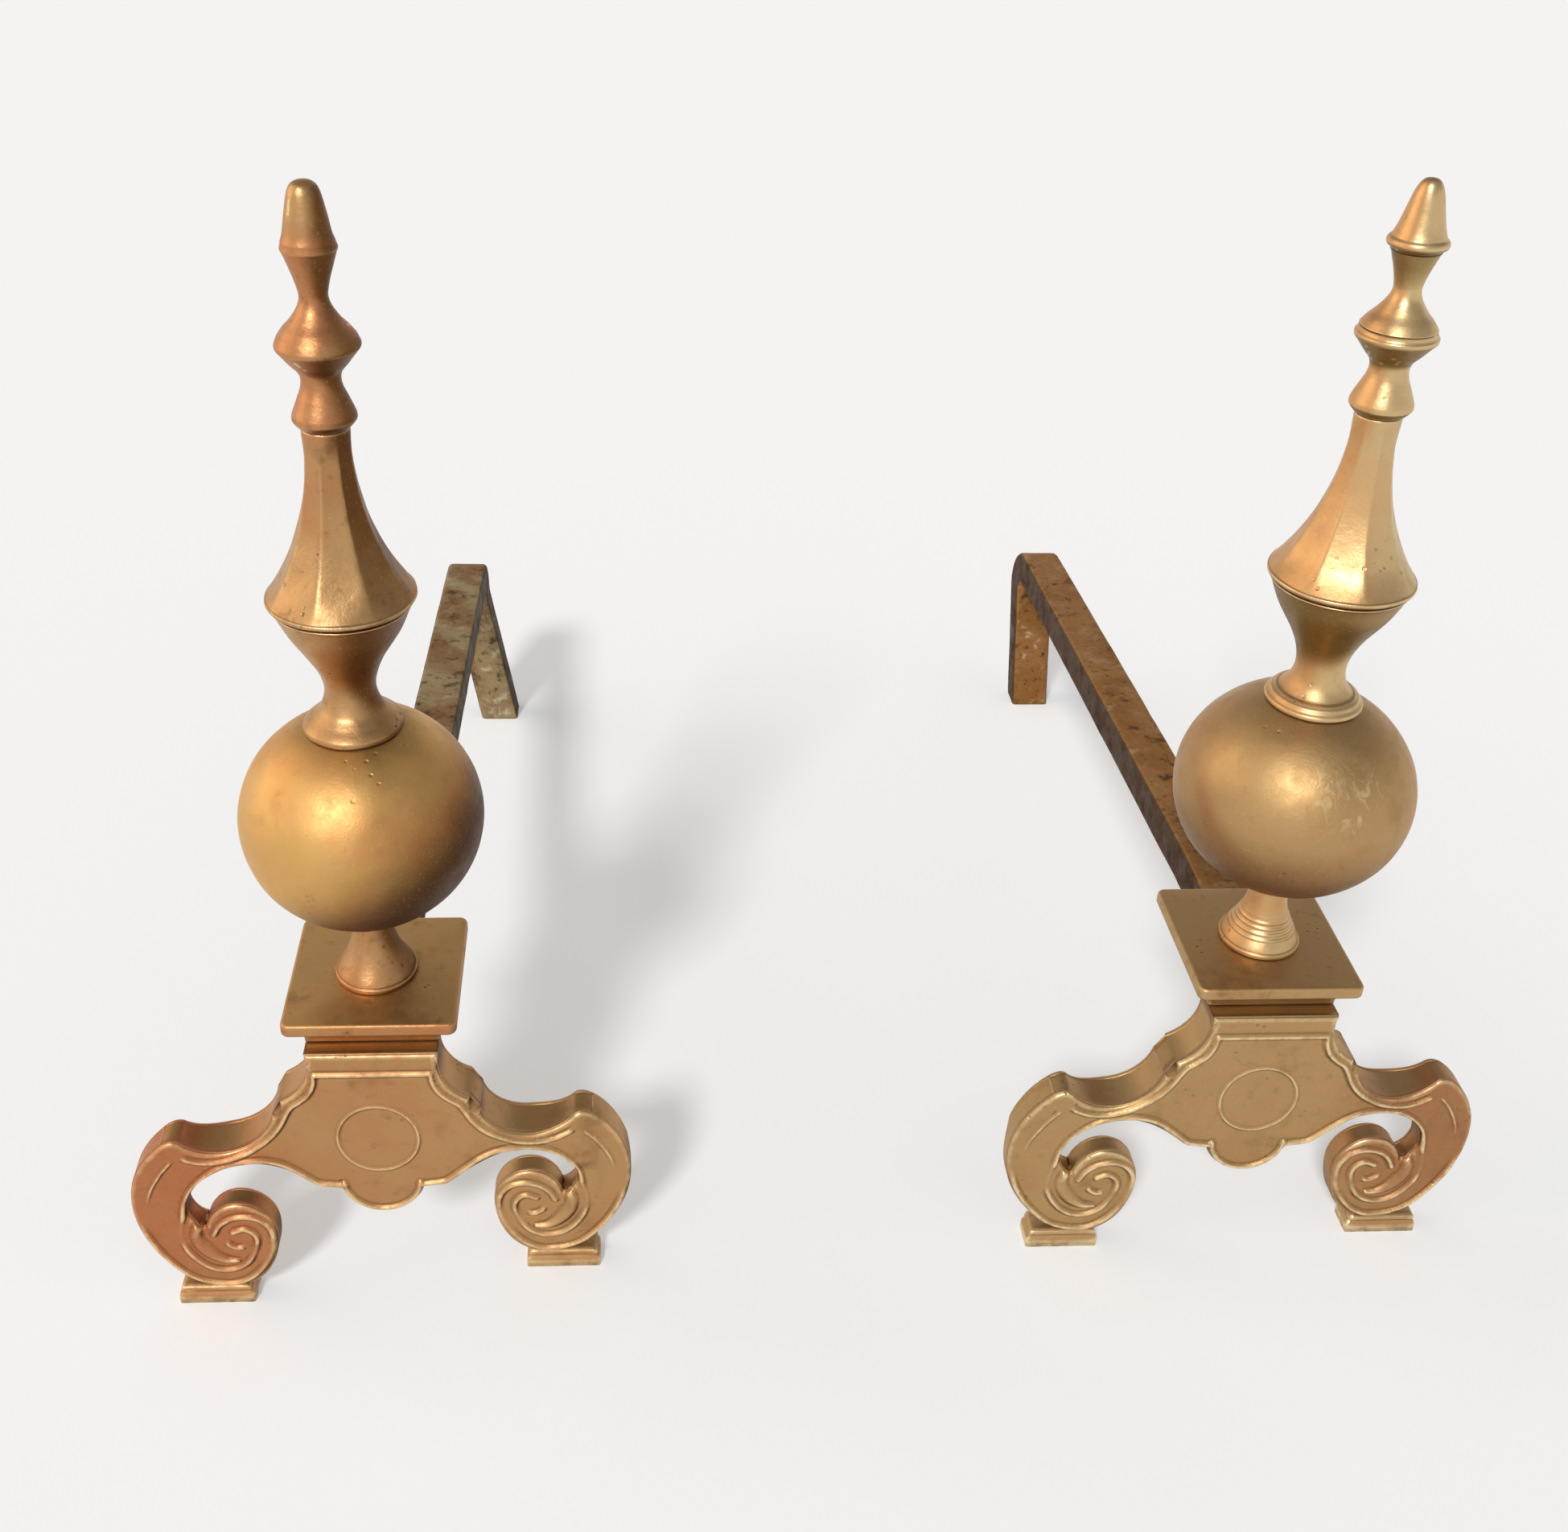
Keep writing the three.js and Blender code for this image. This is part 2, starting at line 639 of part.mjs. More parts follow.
// the bar's section, rounded at its corners, square to the path at one point of it
function barSection(centre, along) {
  const across = new THREE.Vector3(1, 0, 0);
  const up = new THREE.Vector3().crossVectors(across, along).normalize();
  const halfWidth = barWidth / 2;
  const halfHeight = barHeight / 2;
  const points = [];
  const corners = [[1, -1], [1, 1], [-1, 1], [-1, -1]];
  corners.forEach(([sx, sz], corner) => {
    for (let i = 0; i <= 2; i += 1) {
      const a = (corner - 1) * (Math.PI / 2) + i * (Math.PI / 4);
      const x = sx * (halfWidth - barEdgeRound) + barEdgeRound * Math.cos(a);
      const z = sz * (halfHeight - barEdgeRound) + barEdgeRound * Math.sin(a);
      points.push(centre.clone().addScaledVector(across, x).addScaledVector(up, z));
    }
  });
  return points.reverse();
}

function billetBar({ barTurn, legLean }) {
  const level = barTop - barHeight / 2;
  const rearLevel = barRearTop - barHeight / 2;
  const bendStart = barRearReach - barBendRadius - barHeight / 2;
  const start = new THREE.Vector3(0, barFront, level);
  const kneeY = barFront + barLevelRun;
  const slope = Math.atan2(level - rearLevel, bendStart - kneeY);
  const path = [start, new THREE.Vector3(0, kneeY - 6, level)];
  path.push(new THREE.Vector3(0, kneeY + 6, level - 6 * Math.tan(slope)));
  const bendSteps = 6;
  for (let i = 0; i <= bendSteps; i += 1) {
    const a = slope + (i / bendSteps) * (Math.PI / 2 - slope);
    path.push(new THREE.Vector3(
      0,
      bendStart + barBendRadius * (Math.sin(a) - Math.sin(slope)),
      rearLevel - barBendRadius * (Math.cos(slope) - Math.cos(a)),
    ));
  }
  const heel = path[path.length - 1];
  const below = 6;
  path.push(new THREE.Vector3(legLean * (1 + below / heel.z), heel.y, -below));
  const rings = path.map((p, i) => {
    const before = path[Math.max(0, i - 1)];
    const after = path[Math.min(path.length - 1, i + 1)];
    const along = new THREE.Vector3(0, after.y - before.y, after.z - before.z).normalize();
    return barSection(p, along);
  });
  const room = 2 * barRearReach;
  const box = new THREE.BoxGeometry(room, room, room).translate(0, barRearReach, barRearReach);
  return toSolid(loft(rings))
    .intersect(toSolid(box))
    .subtract(toSolid(rodBore(barUnder - 1, barTop + 1).translate(0, columnY, 0)))
    .translate(0, -columnY, 0)
    .rotate([0, 0, -barTurn]);
}

// ---------------------------------------------------------------- assembly

const brass = { metalness: 1, roughness: 0.4 };
const colours = { left: 0xb07c45, right: 0xb99a62, iron: 0x7a5a38, fastener: 0x4c3a2c };

function piece(name, solid, colour, finish = brass) {
  const material = new THREE.MeshStandardMaterial({ color: colour, ...finish });
  const mesh = new THREE.Mesh(toGeometry(solid), material);
  mesh.name = name;
  return mesh;
}

function andiron(options) {
  const group = new THREE.Group();
  const side = options.side;
  const iron = { metalness: 0.6, roughness: 0.75 };
  const column = new THREE.Group();
  column.position.y = columnY;
  group.add(piece(`${side}_leg_casting`, legCasting(options), colours[side]));
  const bar = piece(`${side}_billet_bar`, billetBar(options), colours.iron, iron);
  column.add(bar);
  column.add(piece(`${side}_plinth`, plinth(options), colours[side]));
  column.add(piece(`${side}_spool`, spool(), colours[side]));
  column.add(piece(`${side}_ball`, ball(), colours[side]));
  column.add(piece(`${side}_neck`, neck(), colours[side]));
  const bell = piece(`${side}_steeple`, steeple(), colours[side]);
  bell.rotation.z = THREE.MathUtils.degToRad(options.steepleTurn);
  column.add(bell);
  column.add(piece(`${side}_finial`, finial(options), colours[side]));
  column.add(piece(`${side}_tie_rod`, tieRod(), colours.iron, iron));
  column.add(piece(`${side}_rod_washer`, rodWasher(), colours.fastener, iron));
  column.add(piece(`${side}_rod_nut`, rodNut(), colours.fastener, iron));
  group.add(column);
  return group;
}

const pair = new THREE.Group();
andirons.forEach((options, i) => {
  const group = andiron(options);
  group.position.set((i - 0.5) * pairSpacing, i * rightSetBack, 0);
  pair.add(group);
});

// the origin is the middle of the pair's footprint, on the hearth
const bounds = new THREE.Box3().setFromObject(pair);
const middle = bounds.getCenter(new THREE.Vector3());
pair.position.set(-middle.x, -middle.y, -bounds.min.z);

export default pair;
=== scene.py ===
"""A pair of brass ball and steeple andirons with scrolled legs and forged iron billet bars.

Metres, in the CAD frame: the fronts face -Y, the bars run back along +Y, the hearth is z = 0.
"""

import math

import bpy
import numpy as np
from mathutils import Matrix, Vector, geometry


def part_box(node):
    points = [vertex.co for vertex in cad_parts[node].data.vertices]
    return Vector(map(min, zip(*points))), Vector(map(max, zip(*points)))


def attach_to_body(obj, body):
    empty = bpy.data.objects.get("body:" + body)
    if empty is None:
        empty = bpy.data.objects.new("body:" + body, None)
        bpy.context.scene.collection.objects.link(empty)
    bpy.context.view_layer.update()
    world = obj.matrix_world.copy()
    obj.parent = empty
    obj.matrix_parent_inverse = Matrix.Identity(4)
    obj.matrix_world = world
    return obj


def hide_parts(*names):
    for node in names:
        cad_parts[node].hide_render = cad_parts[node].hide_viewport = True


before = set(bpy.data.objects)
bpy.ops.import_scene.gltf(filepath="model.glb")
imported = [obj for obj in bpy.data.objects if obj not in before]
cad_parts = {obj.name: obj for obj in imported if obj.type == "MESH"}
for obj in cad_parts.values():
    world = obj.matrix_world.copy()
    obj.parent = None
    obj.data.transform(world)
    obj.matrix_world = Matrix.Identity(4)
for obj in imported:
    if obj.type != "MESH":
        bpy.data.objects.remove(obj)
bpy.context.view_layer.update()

SIDES = ("left", "right")
TAU = 2 * math.pi


# ---------------------------------------------------------------- places taken from the frame

def axis_of(side):
    """Where the column's axis stands on the hearth."""
    low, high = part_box(f"{side}_ball")
    return (low.x + high.x) / 2, (low.y + high.y) / 2


def foot_of(node):
    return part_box(node)[0].z


def top_of(node):
    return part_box(node)[1].z


CAP_BEHIND = 0.0005
LEG_FRONT = {side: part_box(f"{side}_plinth")[0].y - CAP_BEHIND for side in SIDES}
SEAT = foot_of("left_spool") - top_of("left_plinth")


# ---------------------------------------------------------------- mesh helpers

def placed(name, data):
    """A new object in the scene, at the origin."""
    thing = bpy.data.objects.new(name, data)
    bpy.context.scene.collection.objects.link(thing)
    return thing


def mesh_object(name, vertices, faces, smooth=True):
    mesh = bpy.data.meshes.new(name)
    mesh.from_pydata([tuple(v) for v in vertices], [], [tuple(f) for f in faces])
    mesh.update()
    mesh.polygons.foreach_set("use_smooth", [smooth] * len(mesh.polygons))
    return placed(name, mesh)


def line_object(name, points, edges):
    """Bare edges, for a node tree to read."""
    mesh = bpy.data.meshes.new(name)
    mesh.from_pydata([tuple(p) for p in points], edges, [])
    return placed(name, mesh)


def baked(piece):
    """The mesh that the piece's modifiers make."""
    bpy.context.view_layer.update()
    evaluated = piece.evaluated_get(bpy.context.evaluated_depsgraph_get())
    return bpy.data.meshes.new_from_object(evaluated)


def arc(centre, radii, start, stop, step=0.0006):
    """Points of an elliptic arc, from start to stop in degrees."""
    start, stop = math.radians(start), math.radians(stop)
    count = max(3, int(abs(stop - start) * max(radii) / step))
    angles = np.linspace(start, stop, count + 1)
    return np.stack([centre[0] + radii[0] * np.cos(angles), centre[1] + radii[1] * np.sin(angles)], 1)


def bezier(points, step=0.0006):
    """Points of a Bezier curve of any degree."""
    points = np.array(points, float)
    length = np.linalg.norm(np.diff(points, axis=0), axis=1).sum()
    t = np.linspace(0, 1, max(3, int(length / step)) + 1)[:, None]
    degree = len(points) - 1
    return sum(math.comb(degree, i) * (1 - t) ** (degree - i) * t ** i * p for i, p in enumerate(points))


def smooth_line(points, step=0.0005):
    """A Catmull-Rom curve through the points, with even steps."""
    points = np.array(points, float)
    padded = np.vstack([2 * points[0] - points[1], points, 2 * points[-1] - points[-2]])
    out = []
    for a, b, c, d in zip(padded, padded[1:], padded[2:], padded[3:]):
        t = np.linspace(0, 1, 40, endpoint=False)[:, None]
        out.append(0.5 * (2 * b + (c - a) * t + (2 * a - 5 * b + 4 * c - d) * t ** 2
                          + (3 * b - a - 3 * c + d) * t ** 3))
    return even(np.vstack(out + [points[-1:]]), step)


def even(points, step):
    """The same line with its points at even distances."""
    lengths = np.r_[0, np.cumsum(np.linalg.norm(np.diff(points, axis=0), axis=1))]
    where = np.linspace(0, lengths[-1], max(2, int(round(lengths[-1] / step))) + 1)
    return np.stack([np.interp(where, lengths, points[:, k]) for k in range(points.shape[1])], 1)


def join_lines(*lines):
    """Lines end to end, without their doubled points."""
    points = np.vstack(lines)
    keep = np.r_[True, np.linalg.norm(np.diff(points, axis=0), axis=1) > 1e-5]
    return points[keep]


def above(foot, *points):
    """Profile points in metres, from (radius, height over the foot) in millimetres."""
    return [(radius / 1000, foot + height / 1000) for radius, height in points]


def smoothstep(low, high, value):
    t = np.clip((value - low) / (high - low), 0, 1)
    return t * t * (3 - 2 * t)


def loft(rings, name):
    """A closed skin over rings of points, capped at both ends."""
    count = len(rings[0])
    vertices = np.vstack(rings)
    faces = []
    for row in range(len(rings) - 1):
        for i in range(count):
            a, b = row * count + i, row * count + (i + 1) % count
            faces.append((a, b, b + count, a + count))
    last = (len(rings) - 1) * count
    faces.append(tuple(range(count - 1, -1, -1)))
    faces.append(tuple(range(last, last + count)))
    return mesh_object(name, vertices, faces)


def join(name, pieces):
    """One object from several closed shells."""
    vertices, faces, offset = [], [], 0
    for piece in pieces:
        vertices.append(np.array([v.co for v in piece.data.vertices]))
        faces += [tuple(i + offset for i in p.vertices) for p in piece.data.polygons]
        offset += len(piece.data.vertices)
        bpy.data.objects.remove(piece)
    return mesh_object(name, np.vstack(vertices), faces)


# ---------------------------------------------------------------- node tree helpers

class Graph:
    """Adds nodes to a tree and wires them by socket name or place."""

    def __init__(self, tree):
        self.tree = tree

    def node(self, kind, inputs=None, **settings):
        node = self.tree.nodes.new(kind)
        for key, value in settings.items():
            setattr(node, key, value)
        for key, value in (inputs or {}).items():
            self.set(node.inputs[key], value)
        return node

    def set(self, socket, value):
        if isinstance(value, bpy.types.NodeSocket):
            self.tree.links.new(value, socket)
        elif isinstance(value, bpy.types.Node):
            self.tree.links.new(value.outputs[0], socket)
        else:
            socket.default_value = value

    def math(self, operation, *values):
        node = self.tree.nodes.new("ShaderNodeMath")
        node.operation = operation
        for socket, value in zip(node.inputs, values):
            self.set(socket, value)
        return node.outputs[0]


def node_group(name, inputs):
    """A geometry node tree with named inputs: {name: (socket kind, default)}."""
    tree = bpy.data.node_groups.new(name, "GeometryNodeTree")
    tree.interface.new_socket("Geometry", in_out="INPUT", socket_type="NodeSocketGeometry")
    for label, (kind, default) in inputs.items():
        socket = tree.interface.new_socket(label, in_out="INPUT", socket_type=f"NodeSocket{kind}")
        if default is not None:
            socket.default_value = default
    tree.interface.new_socket("Geometry", in_out="OUTPUT", socket_type="NodeSocketGeometry")
    return Graph(tree), tree.nodes.new("NodeGroupInput"), tree.nodes.new("NodeGroupOutput")


def finish_tree(graph, result, geometry_out, material):
    realised = graph.node("GeometryNodeRealizeInstances", {"Geometry": geometry_out})
    painted = graph.node("GeometryNodeSetMaterial", {"Geometry": realised, "Material": material})
    graph.set(result.inputs["Geometry"], painted.outputs["Geometry"])


def grow(piece, graph, **values):
    """Runs the tree on the piece and keeps what it makes as a plain mesh."""
    modifier = piece.modifiers.new("grow", "NODES")
    modifier.node_group = graph.tree
    names = {s.name: s.identifier for s in graph.tree.interface.items_tree
             if s.item_type == "SOCKET" and s.in_out == "INPUT"}
    for label, value in values.items():
        modifier[names[label.replace("_", " ")]] = value
    mesh = baked(piece)
    piece.modifiers.remove(modifier)
    old = piece.data
    piece.data = mesh
    bpy.data.meshes.remove(old)
    mesh.name = piece.name
    return piece


# ---------------------------------------------------------------- geometry node trees

WOBBLE_SCALE = 55.0
STILL_RADIUS = 0.005  # nearer the axis than this, the unevenness fades out
MERGE_DISTANCE = 0.000002


def turned_form_tree():
    """Turns a profile about an upright axis. Each profile point is (radius, facet, height)."""
    graph, given, result = node_group("turned_form", {
        "Segments": ("Int", 96),
        "Flats": ("Int", 8),
        "First Flat": ("Float", 0.0),
        "Ridge": ("Float", 0.97),
        "Axis": ("Vector", (0.0, 0.0, 0.0)),
        "Unevenness": ("Float", 0.0),
        "Material": ("Material", None),
    })
    node, calc = graph.node, graph.math
    size = node("GeometryNodeAttributeDomainSize", {"Geometry": given.outputs["Geometry"]})
    rows = size.outputs["Point Count"]
    columns = calc("ADD", given.outputs["Segments"], 1.0)
    grid = node("GeometryNodeMeshGrid", {
        "Size X": 1.0,
        "Size Y": 1.0,
        "Vertices X": columns,
        "Vertices Y": rows,
    })
    place = node("ShaderNodeSeparateXYZ", {"Vector": node("GeometryNodeInputPosition")})
    round_part = calc("ADD", place.outputs["X"], 0.5)
    up_part = calc("ADD", place.outputs["Y"], 0.5)
    row = calc("ROUND", calc("MULTIPLY", up_part, calc("SUBTRACT", rows, 1.0)))
    sampled = node("GeometryNodeSampleIndex", {
        "Geometry": given.outputs["Geometry"],
        "Index": row,
    }, data_type="FLOAT_VECTOR")
    graph.set(sampled.inputs["Value"], node("GeometryNodeInputPosition"))
    point = node("ShaderNodeSeparateXYZ", {"Vector": sampled})
    radius, facet, height = (point.outputs[k] for k in "XYZ")
    turn = calc("MULTIPLY", round_part, TAU)
    flat = calc("DIVIDE", TAU, given.outputs["Flats"])
    half_flat = calc("MULTIPLY", flat, 0.5)
    off_centre = calc("SUBTRACT", calc("FLOORED_MODULO", turn, flat), half_flat)
    ridge = calc("MULTIPLY", half_flat, given.outputs["Ridge"])
    softened = calc("SMOOTH_MIN", calc("ABSOLUTE", off_centre), ridge, calc("MULTIPLY", half_flat, 0.3))
    cut = calc("DIVIDE", calc("COSINE", half_flat), calc("COSINE", softened))
    flattened = calc("ADD", 1.0, calc("MULTIPLY", facet, calc("SUBTRACT", cut, 1.0)))
    faceted = calc("MULTIPLY", radius, flattened)
    angle = calc("ADD", turn, calc("SUBTRACT", given.outputs["First Flat"], half_flat))
    across, along = calc("COSINE", angle), calc("SINE", angle)

    def about_axis(out):
        turned = node("ShaderNodeCombineXYZ", {
            "X": calc("MULTIPLY", out, across),
            "Y": calc("MULTIPLY", out, along),
            "Z": height,
        })
        shifted = node("ShaderNodeVectorMath", {0: turned, 1: given.outputs["Axis"]}, operation="ADD")
        return shifted.outputs[0]

    wobble = node("ShaderNodeTexNoise", {
        "Vector": about_axis(faceted),
        "Scale": WOBBLE_SCALE,
        "Detail": 1.0,
    })
    swell = calc("MULTIPLY", calc("SUBTRACT", wobble.outputs["Fac"], 0.5), given.outputs["Unevenness"])
    off_axis = calc("MINIMUM", calc("DIVIDE", faceted, STILL_RADIUS), 1.0)
    worn = calc("ADD", faceted, calc("MULTIPLY", swell, off_axis))
    moved = node("GeometryNodeSetPosition", {
        "Geometry": grid.outputs["Mesh"],
        "Position": about_axis(worn),
    })
    closed = node("GeometryNodeMergeByDistance", {"Geometry": moved, "Distance": MERGE_DISTANCE})
    smooth = node("GeometryNodeSetShadeSmooth", {"Geometry": closed})
    finish_tree(graph, result, smooth.outputs[0], given.outputs["Material"])
    return graph


GROOVE_PLACE = 1.3  # from the bead's middle, in half widths
GROOVE_SPAN = 0.45


def raised_lines_tree():
    """Raises rounded beads, each between two fine grooves, on the front face along drawn lines."""
    graph, given, result = node_group("raised_lines", {
        "Lines": ("Object", None),
        "Groove": ("Float", 0.22),
        "Casting Skin": ("Float", 0.00012),
        "Material": ("Material", None),
    })
    node, calc = graph.node, graph.math
    drawn = node("GeometryNodeObjectInfo", {"Object": given.outputs["Lines"]})
    lines = drawn.outputs["Geometry"]
    here = node("GeometryNodeInputPosition")
    flat_here = node("ShaderNodeVectorMath", {0: here, 1: (1.0, 0.0, 1.0)}, operation="MULTIPLY")
    near = node("GeometryNodeProximity", {"Sample Position": flat_here.outputs[0]}, target_element="EDGES")
    graph.set(near.inputs[0], lines)
    nearest = node("GeometryNodeSampleNearest", {
        "Geometry": lines,
        "Sample Position": flat_here.outputs[0],
    })

    def line_value(name):
        value = node("GeometryNodeInputNamedAttribute", {"Name": name}, data_type="FLOAT")
        sample = node("GeometryNodeSampleIndex", {"Geometry": lines, "Index": nearest}, data_type="FLOAT")
        graph.set(sample.inputs["Value"], value)
        return sample.outputs["Value"]

    rise, half_width = line_value("rise"), line_value("half_width")
    t = calc("DIVIDE", near.outputs["Distance"], half_width)
    bead = calc("MAXIMUM", calc("SUBTRACT", 1.0, calc("MULTIPLY", t, t)), 0.0)
    from_groove = calc("ABSOLUTE", calc("SUBTRACT", t, GROOVE_PLACE))
    groove = calc("MAXIMUM", calc("SUBTRACT", 1.0, calc("DIVIDE", from_groove, GROOVE_SPAN)), 0.0)
    lift = calc("SUBTRACT", bead, calc("MULTIPLY", groove, given.outputs["Groove"]))
    height = calc("MULTIPLY", lift, rise)
    normal = node("ShaderNodeSeparateXYZ", {"Vector": node("GeometryNodeInputNormal")})
    facing = calc("MULTIPLY", normal.outputs["Y"], -1.0)
    front = node("ShaderNodeMapRange", {"Value": facing, "From Min": 0.3, "From Max": 0.8})
    front_height = calc("MULTIPLY", height, front.outputs[0])
    grain = node("ShaderNodeTexNoise", {"Vector": here, "Scale": 420.0, "Detail": 3.0})
    skin = calc("MULTIPLY", calc("SUBTRACT", grain.outputs["Fac"], 0.5), given.outputs["Casting Skin"])
    outwards = node("ShaderNodeVectorMath", {
        0: node("GeometryNodeInputNormal"),
        "Scale": skin,
    }, operation="SCALE")
    forwards = node("ShaderNodeCombineXYZ", {"Y": calc("MULTIPLY", front_height, -1.0)})
    both = node("ShaderNodeVectorMath", {0: outwards.outputs[0], 1: forwards}, operation="ADD")
    moved = node("GeometryNodeSetPosition", {
        "Geometry": given.outputs["Geometry"],
        "Offset": both.outputs[0],
    })
    smooth = node("GeometryNodeSetShadeSmooth", {"Geometry": moved})
    finish_tree(graph, result, smooth.outputs[0], given.outputs["Material"])
    return graph


def forged_skin_tree():
    """Hammer marks, scale and rust pits over a forged bar."""
    graph, given, result = node_group("forged_skin", {
        "Hammer": ("Float", 0.0006),
        "Pits": ("Float", 0.0003),
        "Material": ("Material", None),
    })
    node, calc = graph.node, graph.math
    here = node("GeometryNodeInputPosition")
    blows = node("ShaderNodeTexNoise", {"Vector": here, "Scale": 38.0, "Detail": 2.0})
    scale = node("ShaderNodeTexNoise", {"Vector": here, "Scale": 310.0, "Detail": 4.0, "Roughness": 0.65})
    wave = calc("MULTIPLY", calc("SUBTRACT", blows.outputs["Fac"], 0.5), given.outputs["Hammer"])
    pit = calc("MULTIPLY", calc("SUBTRACT", scale.outputs["Fac"], 0.5), given.outputs["Pits"])
    height = node("ShaderNodeSeparateXYZ", {"Vector": here})
    off_floor = node("ShaderNodeMapRange", {
        "Value": height.outputs["Z"],
        "From Min": 0.001,
        "From Max": 0.004,
    })
    depth = calc("MULTIPLY", calc("ADD", wave, pit), off_floor.outputs[0])
    offset = node("ShaderNodeVectorMath", {
        0: node("GeometryNodeInputNormal"),
        "Scale": depth,
    }, operation="SCALE")
    moved = node("GeometryNodeSetPosition", {
        "Geometry": given.outputs["Geometry"],
        "Offset": offset.outputs[0],
    })
    smooth = node("GeometryNodeSetShadeSmooth", {"Geometry": moved})
    finish_tree(graph, result, smooth.outputs[0], given.outputs["Material"])
    return graph


# ---------------------------------------------------------------- materials

class Finish(Graph):
    """A material with a Principled surface, and the patterns that its finishes share."""

    def __init__(self, name, metallic, roughness):
        self.material = bpy.data.materials.new(name)
        self.material.use_nodes = True
        super().__init__(self.material.node_tree)
        self.surface = self.tree.nodes["Principled BSDF"]
        self.surface.inputs["Metallic"].default_value = metallic
        self.surface.inputs["Roughness"].default_value = roughness
        self.place = self.node("ShaderNodeTexCoord").outputs["Object"]

    def noise(self, scale, detail=2.0, roughness=0.5, stretch=None, distortion=0.0):
        """Cloudy values about 0.5, finer as the scale grows."""
        place = self.place
        if stretch:
            place = self.node("ShaderNodeMapping", {"Vector": place, "Scale": stretch}).outputs[0]
        return self.node("ShaderNodeTexNoise", {
            "Vector": place,
            "Scale": scale,
            "Detail": detail,
            "Roughness": roughness,
            "Distortion": distortion,
        }).outputs["Fac"]

    def step(self, value, low, high, to_low=0.0, to_high=1.0):
        """A soft step: to_low at the value low, to_high at the value high."""
        return self.node("ShaderNodeMapRange", {
            "Value": value,
            "From Min": low,
            "From Max": high,
            "To Min": to_low,
            "To Max": to_high,
        }, interpolation_type="SMOOTHSTEP").outputs[0]

    def tint(self, colour, amount, hex_colour):
        """The colour, with an amount of another mixed in."""
        node = self.node("ShaderNodeMix", data_type="RGBA", blend_type="MIX")
        self.set(node.inputs["Factor"], amount)
        self.set(node.inputs["A"], colour)
        self.set(node.inputs["B"], linear(hex_colour))
        return node.outputs["Result"]

    def part(self, vector, axis):
        return self.node("ShaderNodeSeparateXYZ", {"Vector": vector}).outputs[axis]

    def far_from(self, place):
        """How far the shaded point is from a place, in metres."""
        reach = self.node("ShaderNodeVectorMath", {0: self.place, 1: place}, operation="DISTANCE")
        return reach.outputs["Value"]

    def wear(self, colour, roughness, normal):
        """Wires the three patterns into the surface."""
        for label, value in (("Base Color", colour), ("Roughness", roughness), ("Normal", normal)):
            self.set(self.surface.inputs[label], value)
        return self.material

    def bump(self, height, strength, distance, onto=None):
        node = self.node("ShaderNodeBump", {"Height": height, "Strength": strength, "Distance": distance})
        if onto is not None:
            self.set(node.inputs["Normal"], onto)
        return node.outputs[0]


def linear(hex_colour):
    """An sRGB colour as the renderer's linear colour."""
    parts = [int(hex_colour[i:i + 2], 16) / 255 for i in (0, 2, 4)]
    return tuple(p / 12.92 if p <= 0.04045 else ((p + 0.055) / 1.055) ** 2.4 for p in parts) + (1.0,)


